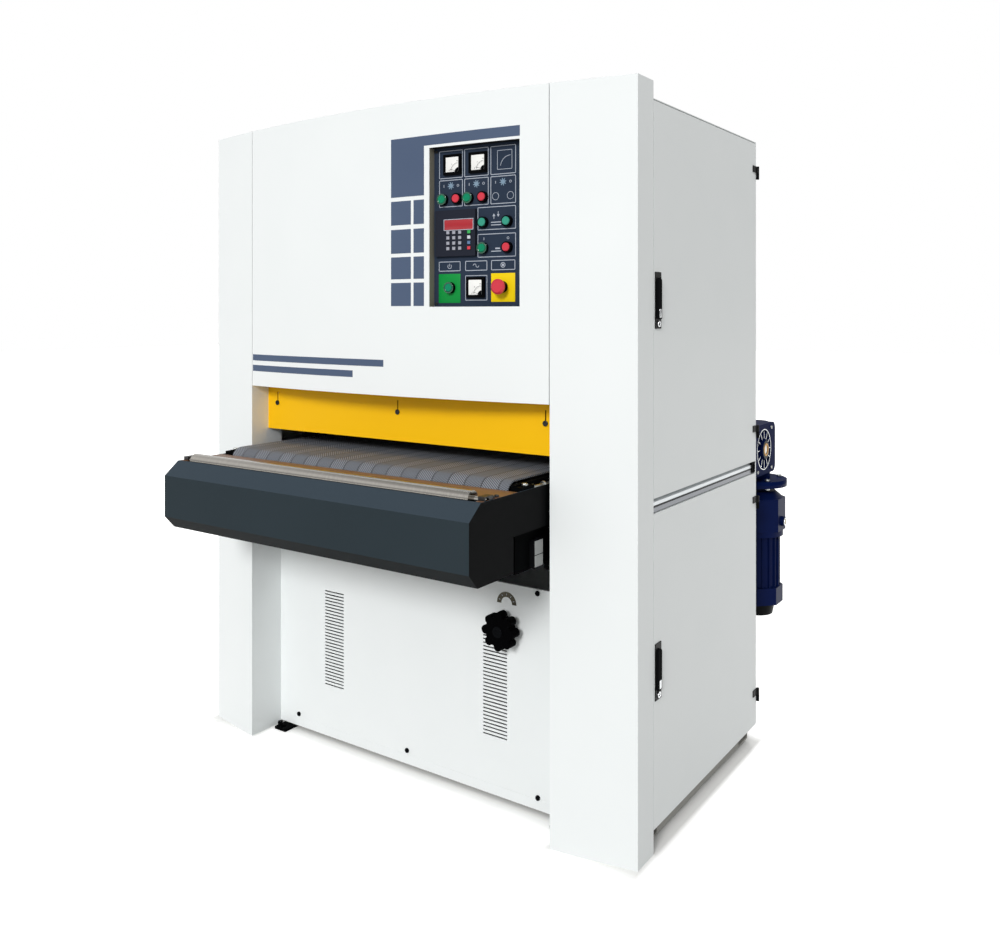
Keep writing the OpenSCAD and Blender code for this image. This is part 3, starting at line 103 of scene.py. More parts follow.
# painted light: the sweep's own glow grows towards the back, standing in for a lamp that lights a white
# backdrop from behind
rear = addNode(tree, "ShaderNodeMapRange",
               {"From Min": studio["glowFrom"][0], "From Max": studio["glowFrom"][1],
                "To Min": studio["floorGlow"][0], "To Max": studio["floorGlow"][1]},
               {"Value": spot.outputs["Y"]})
# painted shade: no glow of its own under the machine, and little close to its feet, so the floor darkens there
# like a contact shadow
clear = None
for x0, x1, y0, y1 in studio["feet"]:
    gaps = []
    for axis, low, high in (("X", x0, x1), ("Y", y0, y1)):
        middle, reach = (low + high) / 2, (high - low) / 2
        away = addNode(tree, "ShaderNodeMath", {1: middle * mm}, {0: spot.outputs[axis]},
                       operation="SUBTRACT")
        away = addNode(tree, "ShaderNodeMath", links={0: away.outputs[0]}, operation="ABSOLUTE")
        gaps.append(addNode(tree, "ShaderNodeMapRange",
                            {"From Min": reach * mm, "From Max": (reach + studio["contact"][axis]) * mm},
                            {"Value": away.outputs[0]}, interpolation_type="SMOOTHSTEP"))
    gap = addNode(tree, "ShaderNodeMath", operation="MAXIMUM",
                  links={0: gaps[0].outputs[0], 1: gaps[1].outputs[0]})
    if clear is None:
        clear = gap
    else:
        clear = addNode(tree, "ShaderNodeMath", operation="MINIMUM",
                        links={0: clear.outputs[0], 1: gap.outputs[0]})
rear = addNode(tree, "ShaderNodeMath", links={0: rear.outputs[0], 1: clear.outputs[0]}, operation="MULTIPLY")
glow = addNode(tree, "ShaderNodeMath", links={0: seen.outputs[0], 1: rear.outputs[0]}, operation="MULTIPLY")
shine = addNode(tree, "ShaderNodeEmission", {"Color": (1, 1, 1, 1)}, {"Strength": glow.outputs[0]})
# throws less light up at the machine than it shows
shade = addNode(tree, "ShaderNodeMix", {6: linear(studio["floorBounce"]), 7: linear(studio["floorColour"])},
                {0: seen.outputs[0]}, data_type="RGBA")
sheet = addNode(tree, "ShaderNodeBsdfDiffuse", links={"Color": shade.outputs[2]})
both = addNode(tree, "ShaderNodeAddShader", links={0: shine.outputs[0], 1: sheet.outputs[0]})
addNode(tree, "ShaderNodeOutputMaterial", links={"Surface": both.outputs[0]})
floor.data.materials.append(paper)

world = bpy.data.worlds.new("studio")
scene.world = world
world.use_nodes = True
tree = world.node_tree
tree.nodes.clear()
rays = addNode(tree, "ShaderNodeLightPath")
direct = addNode(tree, "ShaderNodeMath", operation="MAXIMUM",
                 links={0: rays.outputs["Is Camera Ray"], 1: rays.outputs["Is Transmission Ray"]})
level = addNode(tree, "ShaderNodeMapRange", {"To Min": studio["fill"], "To Max": 1.0},
                {"Value": direct.outputs[0]})
# polished metal shows a bright soft box all round at the key's height, in a dimmer room
ray = addNode(tree, "ShaderNodeSeparateXYZ",
              links={0: addNode(tree, "ShaderNodeTexCoord").outputs["Generated"]})
boxHeight, boxCore, boxReach = studio["softbox"]
rise = addNode(tree, "ShaderNodeMath", {1: boxHeight}, {0: ray.outputs["Z"]}, operation="SUBTRACT")
rise = addNode(tree, "ShaderNodeMath", links={0: rise.outputs[0]}, operation="ABSOLUTE")
softbox = addNode(tree, "ShaderNodeMapRange",
                  {"From Min": boxCore, "From Max": boxReach, "To Min": 1.0, "To Max": studio["roomShade"]},
                  {"Value": rise.outputs[0]}, interpolation_type="SMOOTHSTEP")
level = addNode(tree, "ShaderNodeMix", data_type="FLOAT",
                links={0: rays.outputs["Is Glossy Ray"], 2: level.outputs[0], 3: softbox.outputs[0]})
sky = addNode(tree, "ShaderNodeBackground", {"Color": (1, 1, 1, 1)}, {"Strength": level.outputs[0]})
addNode(tree, "ShaderNodeOutputWorld", links={"Surface": sky.outputs[0]})

for name in ("key", "back"):
    lamp = bpy.data.objects.new(name + "Lamp", bpy.data.lights.new(name + "Lamp", "SUN"))
    scene.collection.objects.link(lamp)
    lamp.data.energy = studio[name]
    lamp.data.angle = math.radians(studio["lampSpread"])
    lamp.rotation_euler = Vector(studio[name + "From"]).to_track_quat("Z", "Y").to_euler()
print("studio and camera set")


def startMaterial(name, colour, roughness, metallic=0.0, **sockets):
    material = bpy.data.materials.new(name)
    material.use_nodes = True
    tree = material.node_tree
    tree.nodes.clear()
    shader = addNode(tree, "ShaderNodeBsdfPrincipled",
                     {"Base Color": linear(colour), "Roughness": roughness, "Metallic": metallic, **sockets})
    addNode(tree, "ShaderNodeOutputMaterial", links={"Surface": shader.outputs[0]})
    place = addNode(tree, "ShaderNodeTexCoord").outputs["Object"]
    return material, tree, shader, place


# mixes two colours over the shader's base by a factor
def tint(tree, shader, factor, first, second):
    mix = addNode(tree, "ShaderNodeMix", {6: linear(first), 7: linear(second)}, {0: factor},
                  data_type="RGBA")
    tree.links.new(mix.outputs[2], shader.inputs["Base Color"])


# sprayed and baked film: slightly cloudy colour, orange peel that softens the reflections
def paintFinish(name, colour, thin, roughness, peelSize=2.4, peelDepth=0.02, cloudSize=260, **sockets):
    material, tree, shader, place = startMaterial(name, colour, roughness, **sockets)
    cloud = addNode(tree, "ShaderNodeTexNoise", {"Scale": perMetre(cloudSize), "Detail": 2.0},
                    {"Vector": place})
    tint(tree, shader, cloud.outputs["Fac"], colour, thin)
    peel = addNode(tree, "ShaderNodeTexNoise", {"Scale": perMetre(peelSize), "Detail": 1.0},
                   {"Vector": place})
    relief = addNode(tree, "ShaderNodeBump", {"Strength": 0.6, "Distance": peelDepth * mm},
                     {"Height": peel.outputs["Fac"]})
    tree.links.new(relief.outputs[0], shader.inputs["Normal"])
    return material, tree, shader, place


# turned, ground or drawn metal: fine lines that spread the highlight across them
def metalFinish(name, colour, dark, roughness, lineSize, along=(1, 1, 1)):
    material, tree, shader, place = startMaterial(name, colour, roughness, 1.0)
    drawn = addNode(tree, "ShaderNodeMapping", {"Scale": along}, {"Vector": place})
    lines = addNode(tree, "ShaderNodeTexNoise", {"Scale": perMetre(lineSize), "Detail": 3.0},
                    {"Vector": drawn.outputs[0]})
    tint(tree, shader, lines.outputs["Fac"], colour, dark)
    rough = addNode(tree, "ShaderNodeMapRange", {"To Min": roughness * 0.8, "To Max": roughness * 1.3},
                    {"Value": lines.outputs["Fac"]})
    tree.links.new(rough.outputs[0], shader.inputs["Roughness"])
    return material, tree, shader, place


# moulded plastic or rubber: even colour with a fine spark-eroded grain
def mouldedFinish(name, colour, worn, roughness, grainSize=0.9, grainDepth=0.03, wearSize=35, **sockets):
    material, tree, shader, place = startMaterial(name, colour, roughness, **sockets)
    wear = addNode(tree, "ShaderNodeTexNoise", {"Scale": perMetre(wearSize), "Detail": 4.0},
                   {"Vector": place})
    tint(tree, shader, wear.outputs["Fac"], colour, worn)
    grain = addNode(tree, "ShaderNodeTexNoise", {"Scale": perMetre(grainSize), "Detail": 2.0},
                    {"Vector": place})
    relief = addNode(tree, "ShaderNodeBump", {"Strength": 0.5, "Distance": grainDepth * mm},
                     {"Height": grain.outputs["Fac"]})
    tree.links.new(relief.outputs[0], shader.inputs["Normal"])
    return material, tree, shader, place


# a second colour on the part of a coat that lies past a level along one axis
def pastLevel(coat, axis, level, colour, side="GREATER_THAN"):
    material, tree, shader, place = coat
    axes = addNode(tree, "ShaderNodeSeparateXYZ", links={0: place})
    past = addNode(tree, "ShaderNodeMath", {1: level * mm}, {0: axes.outputs[axis]}, operation=side)
    painted = shader.inputs["Base Color"].links[0].from_socket
    mix = addNode(tree, "ShaderNodeMix", {7: linear(colour)}, {0: past.outputs[0], 6: painted},
                  data_type="RGBA")
    tree.links.new(mix.outputs[2], shader.inputs["Base Color"])
    return material


dull = {"Specular IOR Level": 0.14}  # satin coats that throw back little light
matt = {"Specular IOR Level": 0.05}  # flattened coats and films, nearly no sheen
flat = {"Specular IOR Level": 0.005}  # deep blacks and navies that stay dark at a low angle
bright = {"Specular IOR Level": 1.0}  # polished mouldings with a clear glint
brushed = {"peelSize": 4.0, "peelDepth": 0.06}  # brush marks
tag = {"peelSize": 1.5, "peelDepth": 0.01}  # smooth baked enamel
ink = {"peelSize": 0.8, "peelDepth": 0.01}  # thin screen print

whiteCoat = paintFinish("powderCoatWhite", "#F2F5F5", "#EDF1F1", 0.45, **dull)[0]  # clean even white
yellowCoat = paintFinish("powderCoatYellow", "#FFC70F", "#FAC010", 0.42, **dull)[0]  # warm even yellow

# doors: the same white sheet, with black nylon dishes and hinge halves standing proud of it
door = {"face": 762.6, "nylon": "#08090A"}
doorCoat = pastLevel(paintFinish("powderCoatWhiteDoor", "#F2F5F5", "#EDF1F1", 0.45, **dull),
                     "X", door["face"], door["nylon"])

# infeed box: fine dull texture; painted shade darkens the lower slant, a painted highlight makes the upper
# slant paler, and painted shade makes the end faces near-black
boxShade = {"lower": 35, "lowerShade": "#171B1D", "upper": 37, "upperLight": "#38434C",
          "endFace": 0.5, "endShade": "#050607"}
boxCoat = paintFinish("powderCoatGraphite", "#2F393F", "#2B3439", 0.6, peelSize=1.4, peelDepth=0.05, **matt)
# painted shade on the lower slant, painted light on the upper one
pastLevel(boxCoat, "Z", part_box("infeed_box")[0].z / mm + boxShade["lower"], boxShade["lowerShade"], "LESS_THAN")
pastLevel(boxCoat, "Z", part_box("infeed_box")[1].z / mm - boxShade["upper"], boxShade["upperLight"])
# painted shade: near-black on both end faces
for end, inwards, side in ((0, 1, "LESS_THAN"), (1, -1, "GREATER_THAN")):
    pastLevel(boxCoat, "X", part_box("infeed_box")[end].x / mm + inwards * boxShade["endFace"],
              boxShade["endShade"], side)

# frame: brush-painted graphite; its lowest band, along the floor, is a light grey that is painted shade,
# standing for the soft shadow under the doors
skirtShade = {"height": 69, "colour": "#A3A29D"}
frameEnamel = pastLevel(paintFinish("brushedEnamelGraphite", "#2C3134", "#262A2D", 0.5, **brushed, **dull),
                        "Z", skirtShade["height"], skirtShade["colour"], "LESS_THAN")
headEnamel = paintFinish("brushedEnamelBlueGrey", "#5C6F80", "#536676", 0.5, **brushed)[0]  # soft sheen
# deep navy, uneven from the rough casting under it
castEnamel = paintFinish("castingEnamelNavy", "#0B1A48", "#08143C", 0.34, peelSize=3.0, peelDepth=0.12,
                         cloudSize=60, **flat)[0]
# satin black over steel plate
bedEnamel = paintFinish("bedEnamelBlack", "#0A0B0C", "#070809", 0.5, peelSize=2.0, peelDepth=0.05, **flat)[0]
# satin film, even colour
vinyl = paintFinish("printedVinylSlate", "#53627B", "#4D5B74", 0.5, peelSize=1.0, peelDepth=0.01, **dull)[0]
greenPlate = paintFinish("enamelPlateGreen", "#0E9440", "#0C8C3C", 0.4, **tag, **dull)[0]  # smooth tags
yellowPlate = paintFinish("enamelPlateYellow", "#F8D80A", "#F0CE08", 0.4, **tag, **dull)[0]
paleInk = paintFinish("screenInkPale", "#B9C0CC", "#AEB6C3", 0.6, **ink)[0]  # matt printed lines
blueInk = paintFinish("screenInkBlue", "#7E97AC", "#748DA2", 0.6, **ink)[0]
blackInk = paintFinish("screenInkBlack", "#15161A", "#1B1C20", 0.6, **ink)[0]
dialWhite = paintFinish("dialEnamelWhite", "#F6F6F3", "#F0F0ED", 0.5, **ink)[0]  # plain white card

# feed motor: casting enamel, with the fan's plastic cover black below the cowl
fanCover = {"height": 40, "colour": "#08090B"}
motorCoat = paintFinish("motorEnamelNavy", "#091742", "#061036", 0.36, peelSize=3.0, peelDepth=0.1,
                        cloudSize=60, **matt)
motorEnamel = pastLevel(motorCoat, "Z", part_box("feed_motor")[0].z / mm + fanCover["height"],
                        fanCover["colour"], "LESS_THAN")

# rail: drawn lines along it; its lower lip is a darker grey, painted shade standing for the dim reflection of
# a face turned down
rail = {"lip": 851, "lipShade": "#74777C"}
aluminium = pastLevel(metalFinish("drawnAluminium", "#C9CDCF", "#AEB3B6", 0.32, 1.5, (1, 0.02, 1)),
                      "Z", rail["lip"], rail["lipShade"], "LESS_THAN")
# grinding rings round the rollers
ground = metalFinish("groundSteel", "#BFBBB4", "#97938D", 0.14, 1.2, (1, 0.06, 0.06))[0]
chrome = metalFinish("chromePlate", "#DADCDD", "#CBCED0", 0.12, 2.0)[0]  # bright mirror rings and inserts
zinc = metalFinish("zincPlate", "#B9BBB8", "#9FA2A0", 0.35, 3.0)[0]  # clear-passivated bolts
bronze = metalFinish("castBronze", "#B98A3C", "#93692A", 0.35, 2.0)[0]  # bush in the gearbox hub
ribHighlightMetal = metalFinish("ribHighlightAluminium", "#DCDEDF", "#C3C6C8", 0.25, 1.0)[0]  # painted highlight: bright metal on the hub's ribs and rim, standing for glints on glossy navy paint
etchedPlate = metalFinish("etchedNickelPlate", "#4A473E", "#38362F", 0.4, 1.5)[0]  # dark scale plate
# blackened lift drive, screws and pulleys
darkSteel = metalFinish("oilBlackSteel", "#4A4B4C", "#343536", 0.42, 2.5)[0]

polished = {"grainSize": 2.0, "grainDepth": 0.01}  # caps from a polished mould
blackPlastic = mouldedFinish("mouldedNylonBlack", "#0C0D0F", "#131416", 0.5, **flat)[0]  # dry black
# dense black thermoset with hardly a highlight
phenolic = mouldedFinish("phenolicKnobBlack", "#030304", "#060607", 0.4, grainSize=3.0, grainDepth=0.02,
                         **flat)[0]
# dull soft blacks of the drums, and of belts and seals
rubber = mouldedFinish("drumRubber", "#26272A", "#303134", 0.62, grainSize=1.2, grainDepth=0.06)[0]
veeRubber = mouldedFinish("veeBeltRubber", "#17181A", "#222325", 0.6, grainSize=1.5, grainDepth=0.08)[0]
# glossy mouldings: green collars with a bright arc, and caps with a small highlight
guardGreen = mouldedFinish("buttonGuardGreen", "#06573A", "#074E35", 0.16, **polished, **bright)[0]
greenCap = mouldedFinish("buttonAbsGreen", "#0E8A62", "#0F825C", 0.28, **polished, **dull)[0]
tealCap = mouldedFinish("buttonAbsTeal", "#2E9C83", "#2A937B", 0.3, **polished)[0]
redCap = mouldedFinish("buttonAbsRed", "#D63346", "#CC2E40", 0.3, **polished)[0]
greyPlastic = mouldedFinish("mouldedNylonGrey", "#9A9D9C", "#8E9190", 0.5)[0]  # pale dull covers
greyKey = mouldedFinish("siliconeKeyGrey", "#A7A9B4", "#9A9CA8", 0.55)[0]  # soft keys with a dry sheen
greenKey = mouldedFinish("siliconeKeyGreen", "#2FB457", "#2AA650", 0.55)[0]
whiteKey = mouldedFinish("siliconeKeyWhite", "#D4D9E0", "#C8CED6", 0.55)[0]
blueKey = mouldedFinish("siliconeKeyBlue", "#5F7FA6", "#56759B", 0.55)[0]
redKey = mouldedFinish("siliconeKeyRed", "#E0394A", "#D43243", 0.55)[0]
# dyed window, smooth gloss
redWindow = mouldedFinish("tintedAcrylicRed", "#B2242F", "#A31F2A", 0.2, grainSize=3.0, grainDepth=0.005)[0]
# clear dome over pale oil
oilGlass = mouldedFinish("oilSightGlass", "#C9B98A", "#B7A470", 0.08, grainSize=4.0, grainDepth=0.005)[0]

# panel fittings: black meters and bezels, and between them the readout's housing in graphite
housing = {"bottom": 1468, "top": 1612, "right": 320, "colour": "#2A2D37", "rest": "#0C0D0F"}
fittings = mouldedFinish("mouldedAbsGraphite", housing["rest"], "#131416", 0.5, **flat)
pastLevel(fittings, "Z", housing["bottom"], housing["colour"])
pastLevel(fittings, "Z", housing["top"], housing["rest"])
pastLevel(fittings, "X", housing["right"], housing["rest"])

# conveyor belt: grey rubber with a herringbone of cut grooves in lengthwise bands
belt = {"band": 51.5, "groove": 8.0, "ridge": (-0.9, 0.1), "seam": 3.2, "depth": 1.2, "dust": 60,
        "topHeight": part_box("conveyor_belt")[1].z,
        "worn": ("#82878F", "#8E929B"), "shaded": "#7A7F88", "cut": "#2E2F31"}
beltRubber, tree, shader, place = startMaterial("herringboneBeltRubber", "#5E5F61", 0.72)
axes = addNode(tree, "ShaderNodeSeparateXYZ", links={0: place})
fall = addNode(tree, "ShaderNodeMath", {1: belt["topHeight"]}, {0: axes.outputs["Z"]}, operation="SUBTRACT")
along = addNode(tree, "ShaderNodeMath", links={0: axes.outputs["Y"], 1: fall.outputs[0]}, operation="ADD")
slant = addNode(tree, "ShaderNodeMath", {1: belt["band"] * mm}, {0: axes.outputs["X"]}, operation="PINGPONG")
run = addNode(tree, "ShaderNodeMath", links={0: along.outputs[0], 1: slant.outputs[0]}, operation="ADD")
phase = addNode(tree, "ShaderNodeMath", {1: 2 * math.pi / (belt["groove"] * mm)}, {0: run.outputs[0]},
                operation="MULTIPLY")
wave = addNode(tree, "ShaderNodeMath", links={0: phase.outputs[0]}, operation="SINE")
ridge = addNode(tree, "ShaderNodeMapRange", {"From Min": belt["ridge"][0], "From Max": belt["ridge"][1]},
                {"Value": wave.outputs[0]})
halfBand = 0.5 * belt["band"]
inBand = addNode(tree, "ShaderNodeMath", {1: halfBand * mm}, {0: slant.outputs[0]}, operation="SUBTRACT")
inBand = addNode(tree, "ShaderNodeMath", links={0: inBand.outputs[0]}, operation="ABSOLUTE")
seam = addNode(tree, "ShaderNodeMapRange",
               {"From Min": (halfBand - belt["seam"]) * mm, "From Max": halfBand * mm,
                "To Min": 1.0, "To Max": 0.0}, {"Value": inBand.outputs[0]})
height = addNode(tree, "ShaderNodeMath", operation="MULTIPLY",
                 links={0: ridge.outputs[0], 1: seam.outputs[0]})
dust = addNode(tree, "ShaderNodeTexNoise", {"Scale": perMetre(belt["dust"]), "Detail": 5.0},
               {"Vector": place})
worn = addNode(tree, "ShaderNodeMix", {6: linear(belt["worn"][0]), 7: linear(belt["worn"][1])},
               {0: dust.outputs["Fac"]}, data_type="RGBA")
other = addNode(tree, "ShaderNodeMath", {1: 2 * belt["band"] * mm}, {0: axes.outputs["X"]},
                operation="FLOORED_MODULO")
other = addNode(tree, "ShaderNodeMath", {1: belt["band"] * mm}, {0: other.outputs[0]},
                operation="GREATER_THAN")
# ribs that slant away from the light look darker
ribbed = addNode(tree, "ShaderNodeMix", {7: linear(belt["shaded"])},
                 {0: other.outputs[0], 6: worn.outputs[2]}, data_type="RGBA")
# painted shade: the cut colour darkens the grooves and the sunk seams between bands
grooveShade = addNode(tree, "ShaderNodeMix", {6: linear(belt["cut"])},
                  {0: height.outputs[0], 7: ribbed.outputs[2]}, data_type="RGBA")
tree.links.new(grooveShade.outputs[2], shader.inputs["Base Color"])
relief = addNode(tree, "ShaderNodeBump", {"Strength": 0.7, "Distance": belt["depth"] * mm},
                 {"Height": height.outputs[0]})
tree.links.new(relief.outputs[0], shader.inputs["Normal"])

# abrasive belt: brown aluminium oxide grit on cloth, drawn at 1.5 mm so that the grain shows
abrasive = {"grain": 1.5, "depth": 0.4}
gritCloth, tree, shader, place = startMaterial("aluminiumOxideCloth", "#6E3B26", 0.85)
grit = addNode(tree, "ShaderNodeTexVoronoi", {"Scale": perMetre(abrasive["grain"])}, {"Vector": place})
tint(tree, shader, grit.outputs["Distance"], "#4E2818", "#8A5238")
relief = addNode(tree, "ShaderNodeBump", {"Strength": 0.8, "Distance": abrasive["depth"] * mm},
                 {"Height": grit.outputs["Distance"]})
tree.links.new(relief.outputs[0], shader.inputs["Normal"])

# top plate: waxed brown hardboard, long soft grain with a low shine, under black nylon roller brackets
topPlate = {"grain": 6, "along": (0.08, 1, 1), "brackets": 903.2, "nylon": "#0E0F10"}
hardboard, tree, shader, place = startMaterial("waxedHardboard", "#8C6648", 0.4)
fibre = addNode(tree, "ShaderNodeMapping", {"Scale": topPlate["along"]}, {"Vector": place})
grain = addNode(tree, "ShaderNodeTexNoise", {"Scale": perMetre(topPlate["grain"]), "Detail": 5.0},
                {"Vector": fibre.outputs[0]})
tint(tree, shader, grain.outputs["Fac"], "#8A5F40", "#5E4029")
pastLevel((hardboard, tree, shader, place), "Z", topPlate["brackets"], topPlate["nylon"])

# control panel: matt dark film on the plate and unpainted olive-black tray sides; on the sides that face right
# a pale colour is painted light, standing for the lamp that falls on them
tray = {"film": ("#2A3444", "#303B4C"), "cloud": 90, "bare": "#1C1D1C", "pale": "#8E8B7D", "square": 0.7}
panelFilm, tree, shader, place = startMaterial("panelFilmNavy", "#20242F", 0.5, **matt)
facing = addNode(tree, "ShaderNodeSeparateXYZ",
                 links={0: addNode(tree, "ShaderNodeNewGeometry").outputs["Normal"]})
front = addNode(tree, "ShaderNodeMath", {1: -tray["square"]}, {0: facing.outputs["Y"]},
                operation="LESS_THAN")
right = addNode(tree, "ShaderNodeMath", {1: tray["square"]}, {0: facing.outputs["X"]},
                operation="GREATER_THAN")
cloud = addNode(tree, "ShaderNodeTexNoise", {"Scale": perMetre(tray["cloud"]), "Detail": 2.0},
                {"Vector": place})
plateTone = addNode(tree, "ShaderNodeMix", {6: linear(tray["film"][0]), 7: linear(tray["film"][1])},
                    {0: cloud.outputs["Fac"]}, data_type="RGBA")
# painted light: pale on the tray sides that face right
litSideTone = addNode(tree, "ShaderNodeMix", {6: linear(tray["bare"]), 7: linear(tray["pale"])},
                   {0: right.outputs[0]}, data_type="RGBA")
trayTone = addNode(tree, "ShaderNodeMix", data_type="RGBA",
                   links={0: front.outputs[0], 6: litSideTone.outputs[2], 7: plateTone.outputs[2]})
tree.links.new(trayTone.outputs[2], shader.inputs["Base Color"])

finishes = {
    whiteCoat: ["left_column", "right_column", "front_cover", "roof", "left_panel", "rear_panel",
                "lower_panel"],
    doorCoat: ["upper_door", "lower_door"],
    yellowCoat: ["guard_plate"],
    boxCoat[0]: ["infeed_box"],
    frameEnamel: ["base_frame"],
    headEnamel: ["head_frame", "front_yoke", "rear_yoke", "main_motors"],
    castEnamel: ["feed_gearbox"],
    motorEnamel: ["feed_motor"],
    bedEnamel: ["table_bed", "floor_pads"],
    aluminium: ["side_rail"],
    ground: ["infeed_roller", "idler_roller", "drive_roller", "front_tension_roller", "rear_tension_roller"],
    darkSteel: ["lift_drive", "left_front_screw", "right_front_screw", "left_rear_screw", "right_rear_screw",
                "front_motor_pulley", "rear_motor_pulley"],
    blackPlastic: ["door_hinges", "upper_lever", "lower_lever", "table_switch"],
    fittings[0]: ["panel_fittings"],
    phenolic: ["hand_knob"],
    rubber: ["front_drum", "rear_drum", "infeed_pressure_roller", "outfeed_pressure_roller"],
    veeRubber: ["drive_belts"],
    greenCap: ["front_sander_start", "rear_sander_start", "feed_start", "power_on"],
    tealCap: ["table_up", "table_down"],
    redCap: ["front_sander_stop", "rear_sander_stop", "feed_stop", "emergency_stop"],
    greyPlastic: ["electrical_panel"],
    beltRubber: ["conveyor_belt"],
    gritCloth: ["front_abrasive", "rear_abrasive"],
    hardboard: ["infeed_plate"],
    panelFilm: ["control_panel"],
}
for material, names in finishes.items():
    for name in names:
        nodes[name].data.materials.clear()
        nodes[name].data.materials.append(material)
print("finishes on", sum(len(names) for names in finishes.values()), "nodes")


# modelling steps, used by hand-built pieces below; sizes and places in millimetres
def selectOnly(piece):
    bpy.ops.object.select_all(action="DESELECT")
    piece.select_set(True)
    bpy.context.view_layer.objects.active = piece


def bakePlace(piece):  # the piece's place goes into its mesh
    selectOnly(piece)
    bpy.ops.object.transform_apply(location=True, rotation=True, scale=True)


def putAt(piece, matrix):
    piece.matrix_world = matrix
    bakePlace(piece)


def finishWith(piece, kind, **settings):  # adds a modifier and applies it
    selectOnly(piece)
    modifier = piece.modifiers.new(kind.lower(), kind)
    for name, value in settings.items():
        setattr(modifier, name, value)
    bpy.ops.object.modifier_apply(modifier=modifier.name)


def roundEdges(piece, width):
    finishWith(piece, "BEVEL", width=width * mm, segments=2, limit_method="ANGLE")


def thicken(piece, thickness):  # a flat shape becomes a plate that grows towards its front
    finishWith(piece, "SOLIDIFY", thickness=thickness * mm, offset=1)


squareOn = 0.9  # share of a normal along an axis, on a face square to it


def everyFace(normal):
    return True


def frontFace(normal):
    return normal.y < -squareOn


def rightFace(normal):
    return normal.x > squareOn


def pickFaces(piece, test):  # edit mode, with the faces whose normal passes the test
    selectOnly(piece)
    bpy.ops.object.mode_set(mode="EDIT")
    bpy.ops.mesh.select_mode(type="FACE")
    bpy.ops.mesh.select_all(action="DESELECT")
    mesh = bmesh.from_edit_mesh(piece.data)
    for face in mesh.faces:
        face.select_set(test(face.normal))
    bmesh.update_edit_mesh(piece.data)


def closeEdit():
    bpy.ops.object.mode_set(mode="OBJECT")


def dish(piece, test, border, depth):  # sinks or lifts the picked face inside a border
    pickFaces(piece, test)
    bpy.ops.mesh.inset(thickness=border * mm, depth=depth * mm)
    closeEdit()
    return piece


def newBlock(size, place, edge):  # box about a middle, with rounded edges
    bpy.ops.object.select_all(action="DESELECT")
    bpy.ops.mesh.primitive_cube_add(size=mm, location=Vector(place) * mm)
    piece = bpy.context.object
    piece.scale = size
    bakePlace(piece)
    roundEdges(piece, edge)
    return piece


def newRound(radius, length, sides):  # bar from the origin towards -Y
    bpy.ops.object.select_all(action="DESELECT")
    bpy.ops.mesh.primitive_cylinder_add(vertices=sides, radius=radius * mm, depth=length * mm,
                                        location=(0, -length / 2 * mm, 0), rotation=(math.radians(90), 0, 0))
    piece = bpy.context.object
    bakePlace(piece)
    return piece


def newRing(inner, outer, length, edge):  # bar with a bore through it
    piece = newRound(outer, length, 48)
    pickFaces(piece, lambda normal: abs(normal.y) > squareOn)
    bpy.ops.mesh.inset(thickness=(outer - inner) * mm)
    bpy.ops.mesh.bridge_edge_loops()
    closeEdit()
    roundEdges(piece, edge)
    return piece


screwHead = {"border": 0.5, "recess": 0.5, "edge": 0.12}  # shares of a head's radius, height and radius


def newScrew(radius, height, sides=24):  # head with a driver recess in its face
    piece = newRound(radius, height, sides)
    pickFaces(piece, frontFace)
    bpy.ops.mesh.inset(thickness=screwHead["border"] * radius * mm)
    sunk = (0, screwHead["recess"] * height * mm, 0)
    bpy.ops.mesh.extrude_region_move(TRANSFORM_OT_translate={"value": sunk})
    closeEdit()
    roundEdges(piece, screwHead["edge"] * radius)
    return piece


def newFlat(width, height, place, corner=0):  # flat patch facing -Y, its corners rounded
    bpy.ops.object.select_all(action="DESELECT")
    bpy.ops.mesh.primitive_plane_add(size=mm, location=Vector(place) * mm, rotation=(math.radians(90), 0, 0))
    piece = bpy.context.object
    piece.scale = (width, height, 1)
    bakePlace(piece)
    if corner:
        roundCorners(piece, corner, 3)
    return piece


def roundCorners(piece, corner, segments):
    pickFaces(piece, everyFace)
    bpy.ops.mesh.bevel(offset=corner * mm, segments=segments, affect="VERTICES")
    closeEdit()


def newDisc(radius, place, sides=40):  # flat round patch facing -Y
    bpy.ops.object.select_all(action="DESELECT")
    bpy.ops.mesh.primitive_circle_add(vertices=sides, radius=radius * mm, fill_type="NGON",
                                      location=Vector(place) * mm, rotation=(math.radians(90), 0, 0))
    piece = bpy.context.object
    bakePlace(piece)
    return piece


def hollow(piece, line):  # leaves only a line of this width along the outline
    pickFaces(piece, everyFace)
    bpy.ops.mesh.inset(thickness=line * mm)
    bpy.ops.mesh.delete(type="FACE")
    closeEdit()
    return piece


def keepSide(piece, point, direction):  # cuts away what lies behind a plane
    pickFaces(piece, everyFace)
    bpy.ops.mesh.bisect(plane_co=Vector(point) * mm, plane_no=direction, clear_inner=True)
    closeEdit()
    return piece


def joinAs(name, pieces):
    bpy.ops.object.select_all(action="DESELECT")
    for piece in pieces:
        piece.select_set(True)
    bpy.context.view_layer.objects.active = pieces[0]
    if len(pieces) > 1:
        bpy.ops.object.join()
    pieces[0].name = name
    return pieces[0]


def setOut(name, template, places):  # copies of one modelled shape, each with its own mesh
    copies = []
    for place in places:
        twin = template.copy()
        twin.data = template.data.copy()
        scene.collection.objects.link(twin)
        putAt(twin, place)
        copies.append(twin)
    bpy.data.objects.remove(template)
    return joinAs(name, copies)


def dress(piece, material, body):  # smooth shading up to an edge of 35 degrees, finish and body
    selectOnly(piece)
    bpy.ops.object.shade_smooth_by_angle(angle=math.radians(35))
    piece.data.materials.clear()
    piece.data.materials.append(material)
    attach(piece, body)


def fit(name, piece, place, material, body):  # one finished piece at its place
    putAt(piece, place)
    piece.name = name
    dress(piece, material, body)


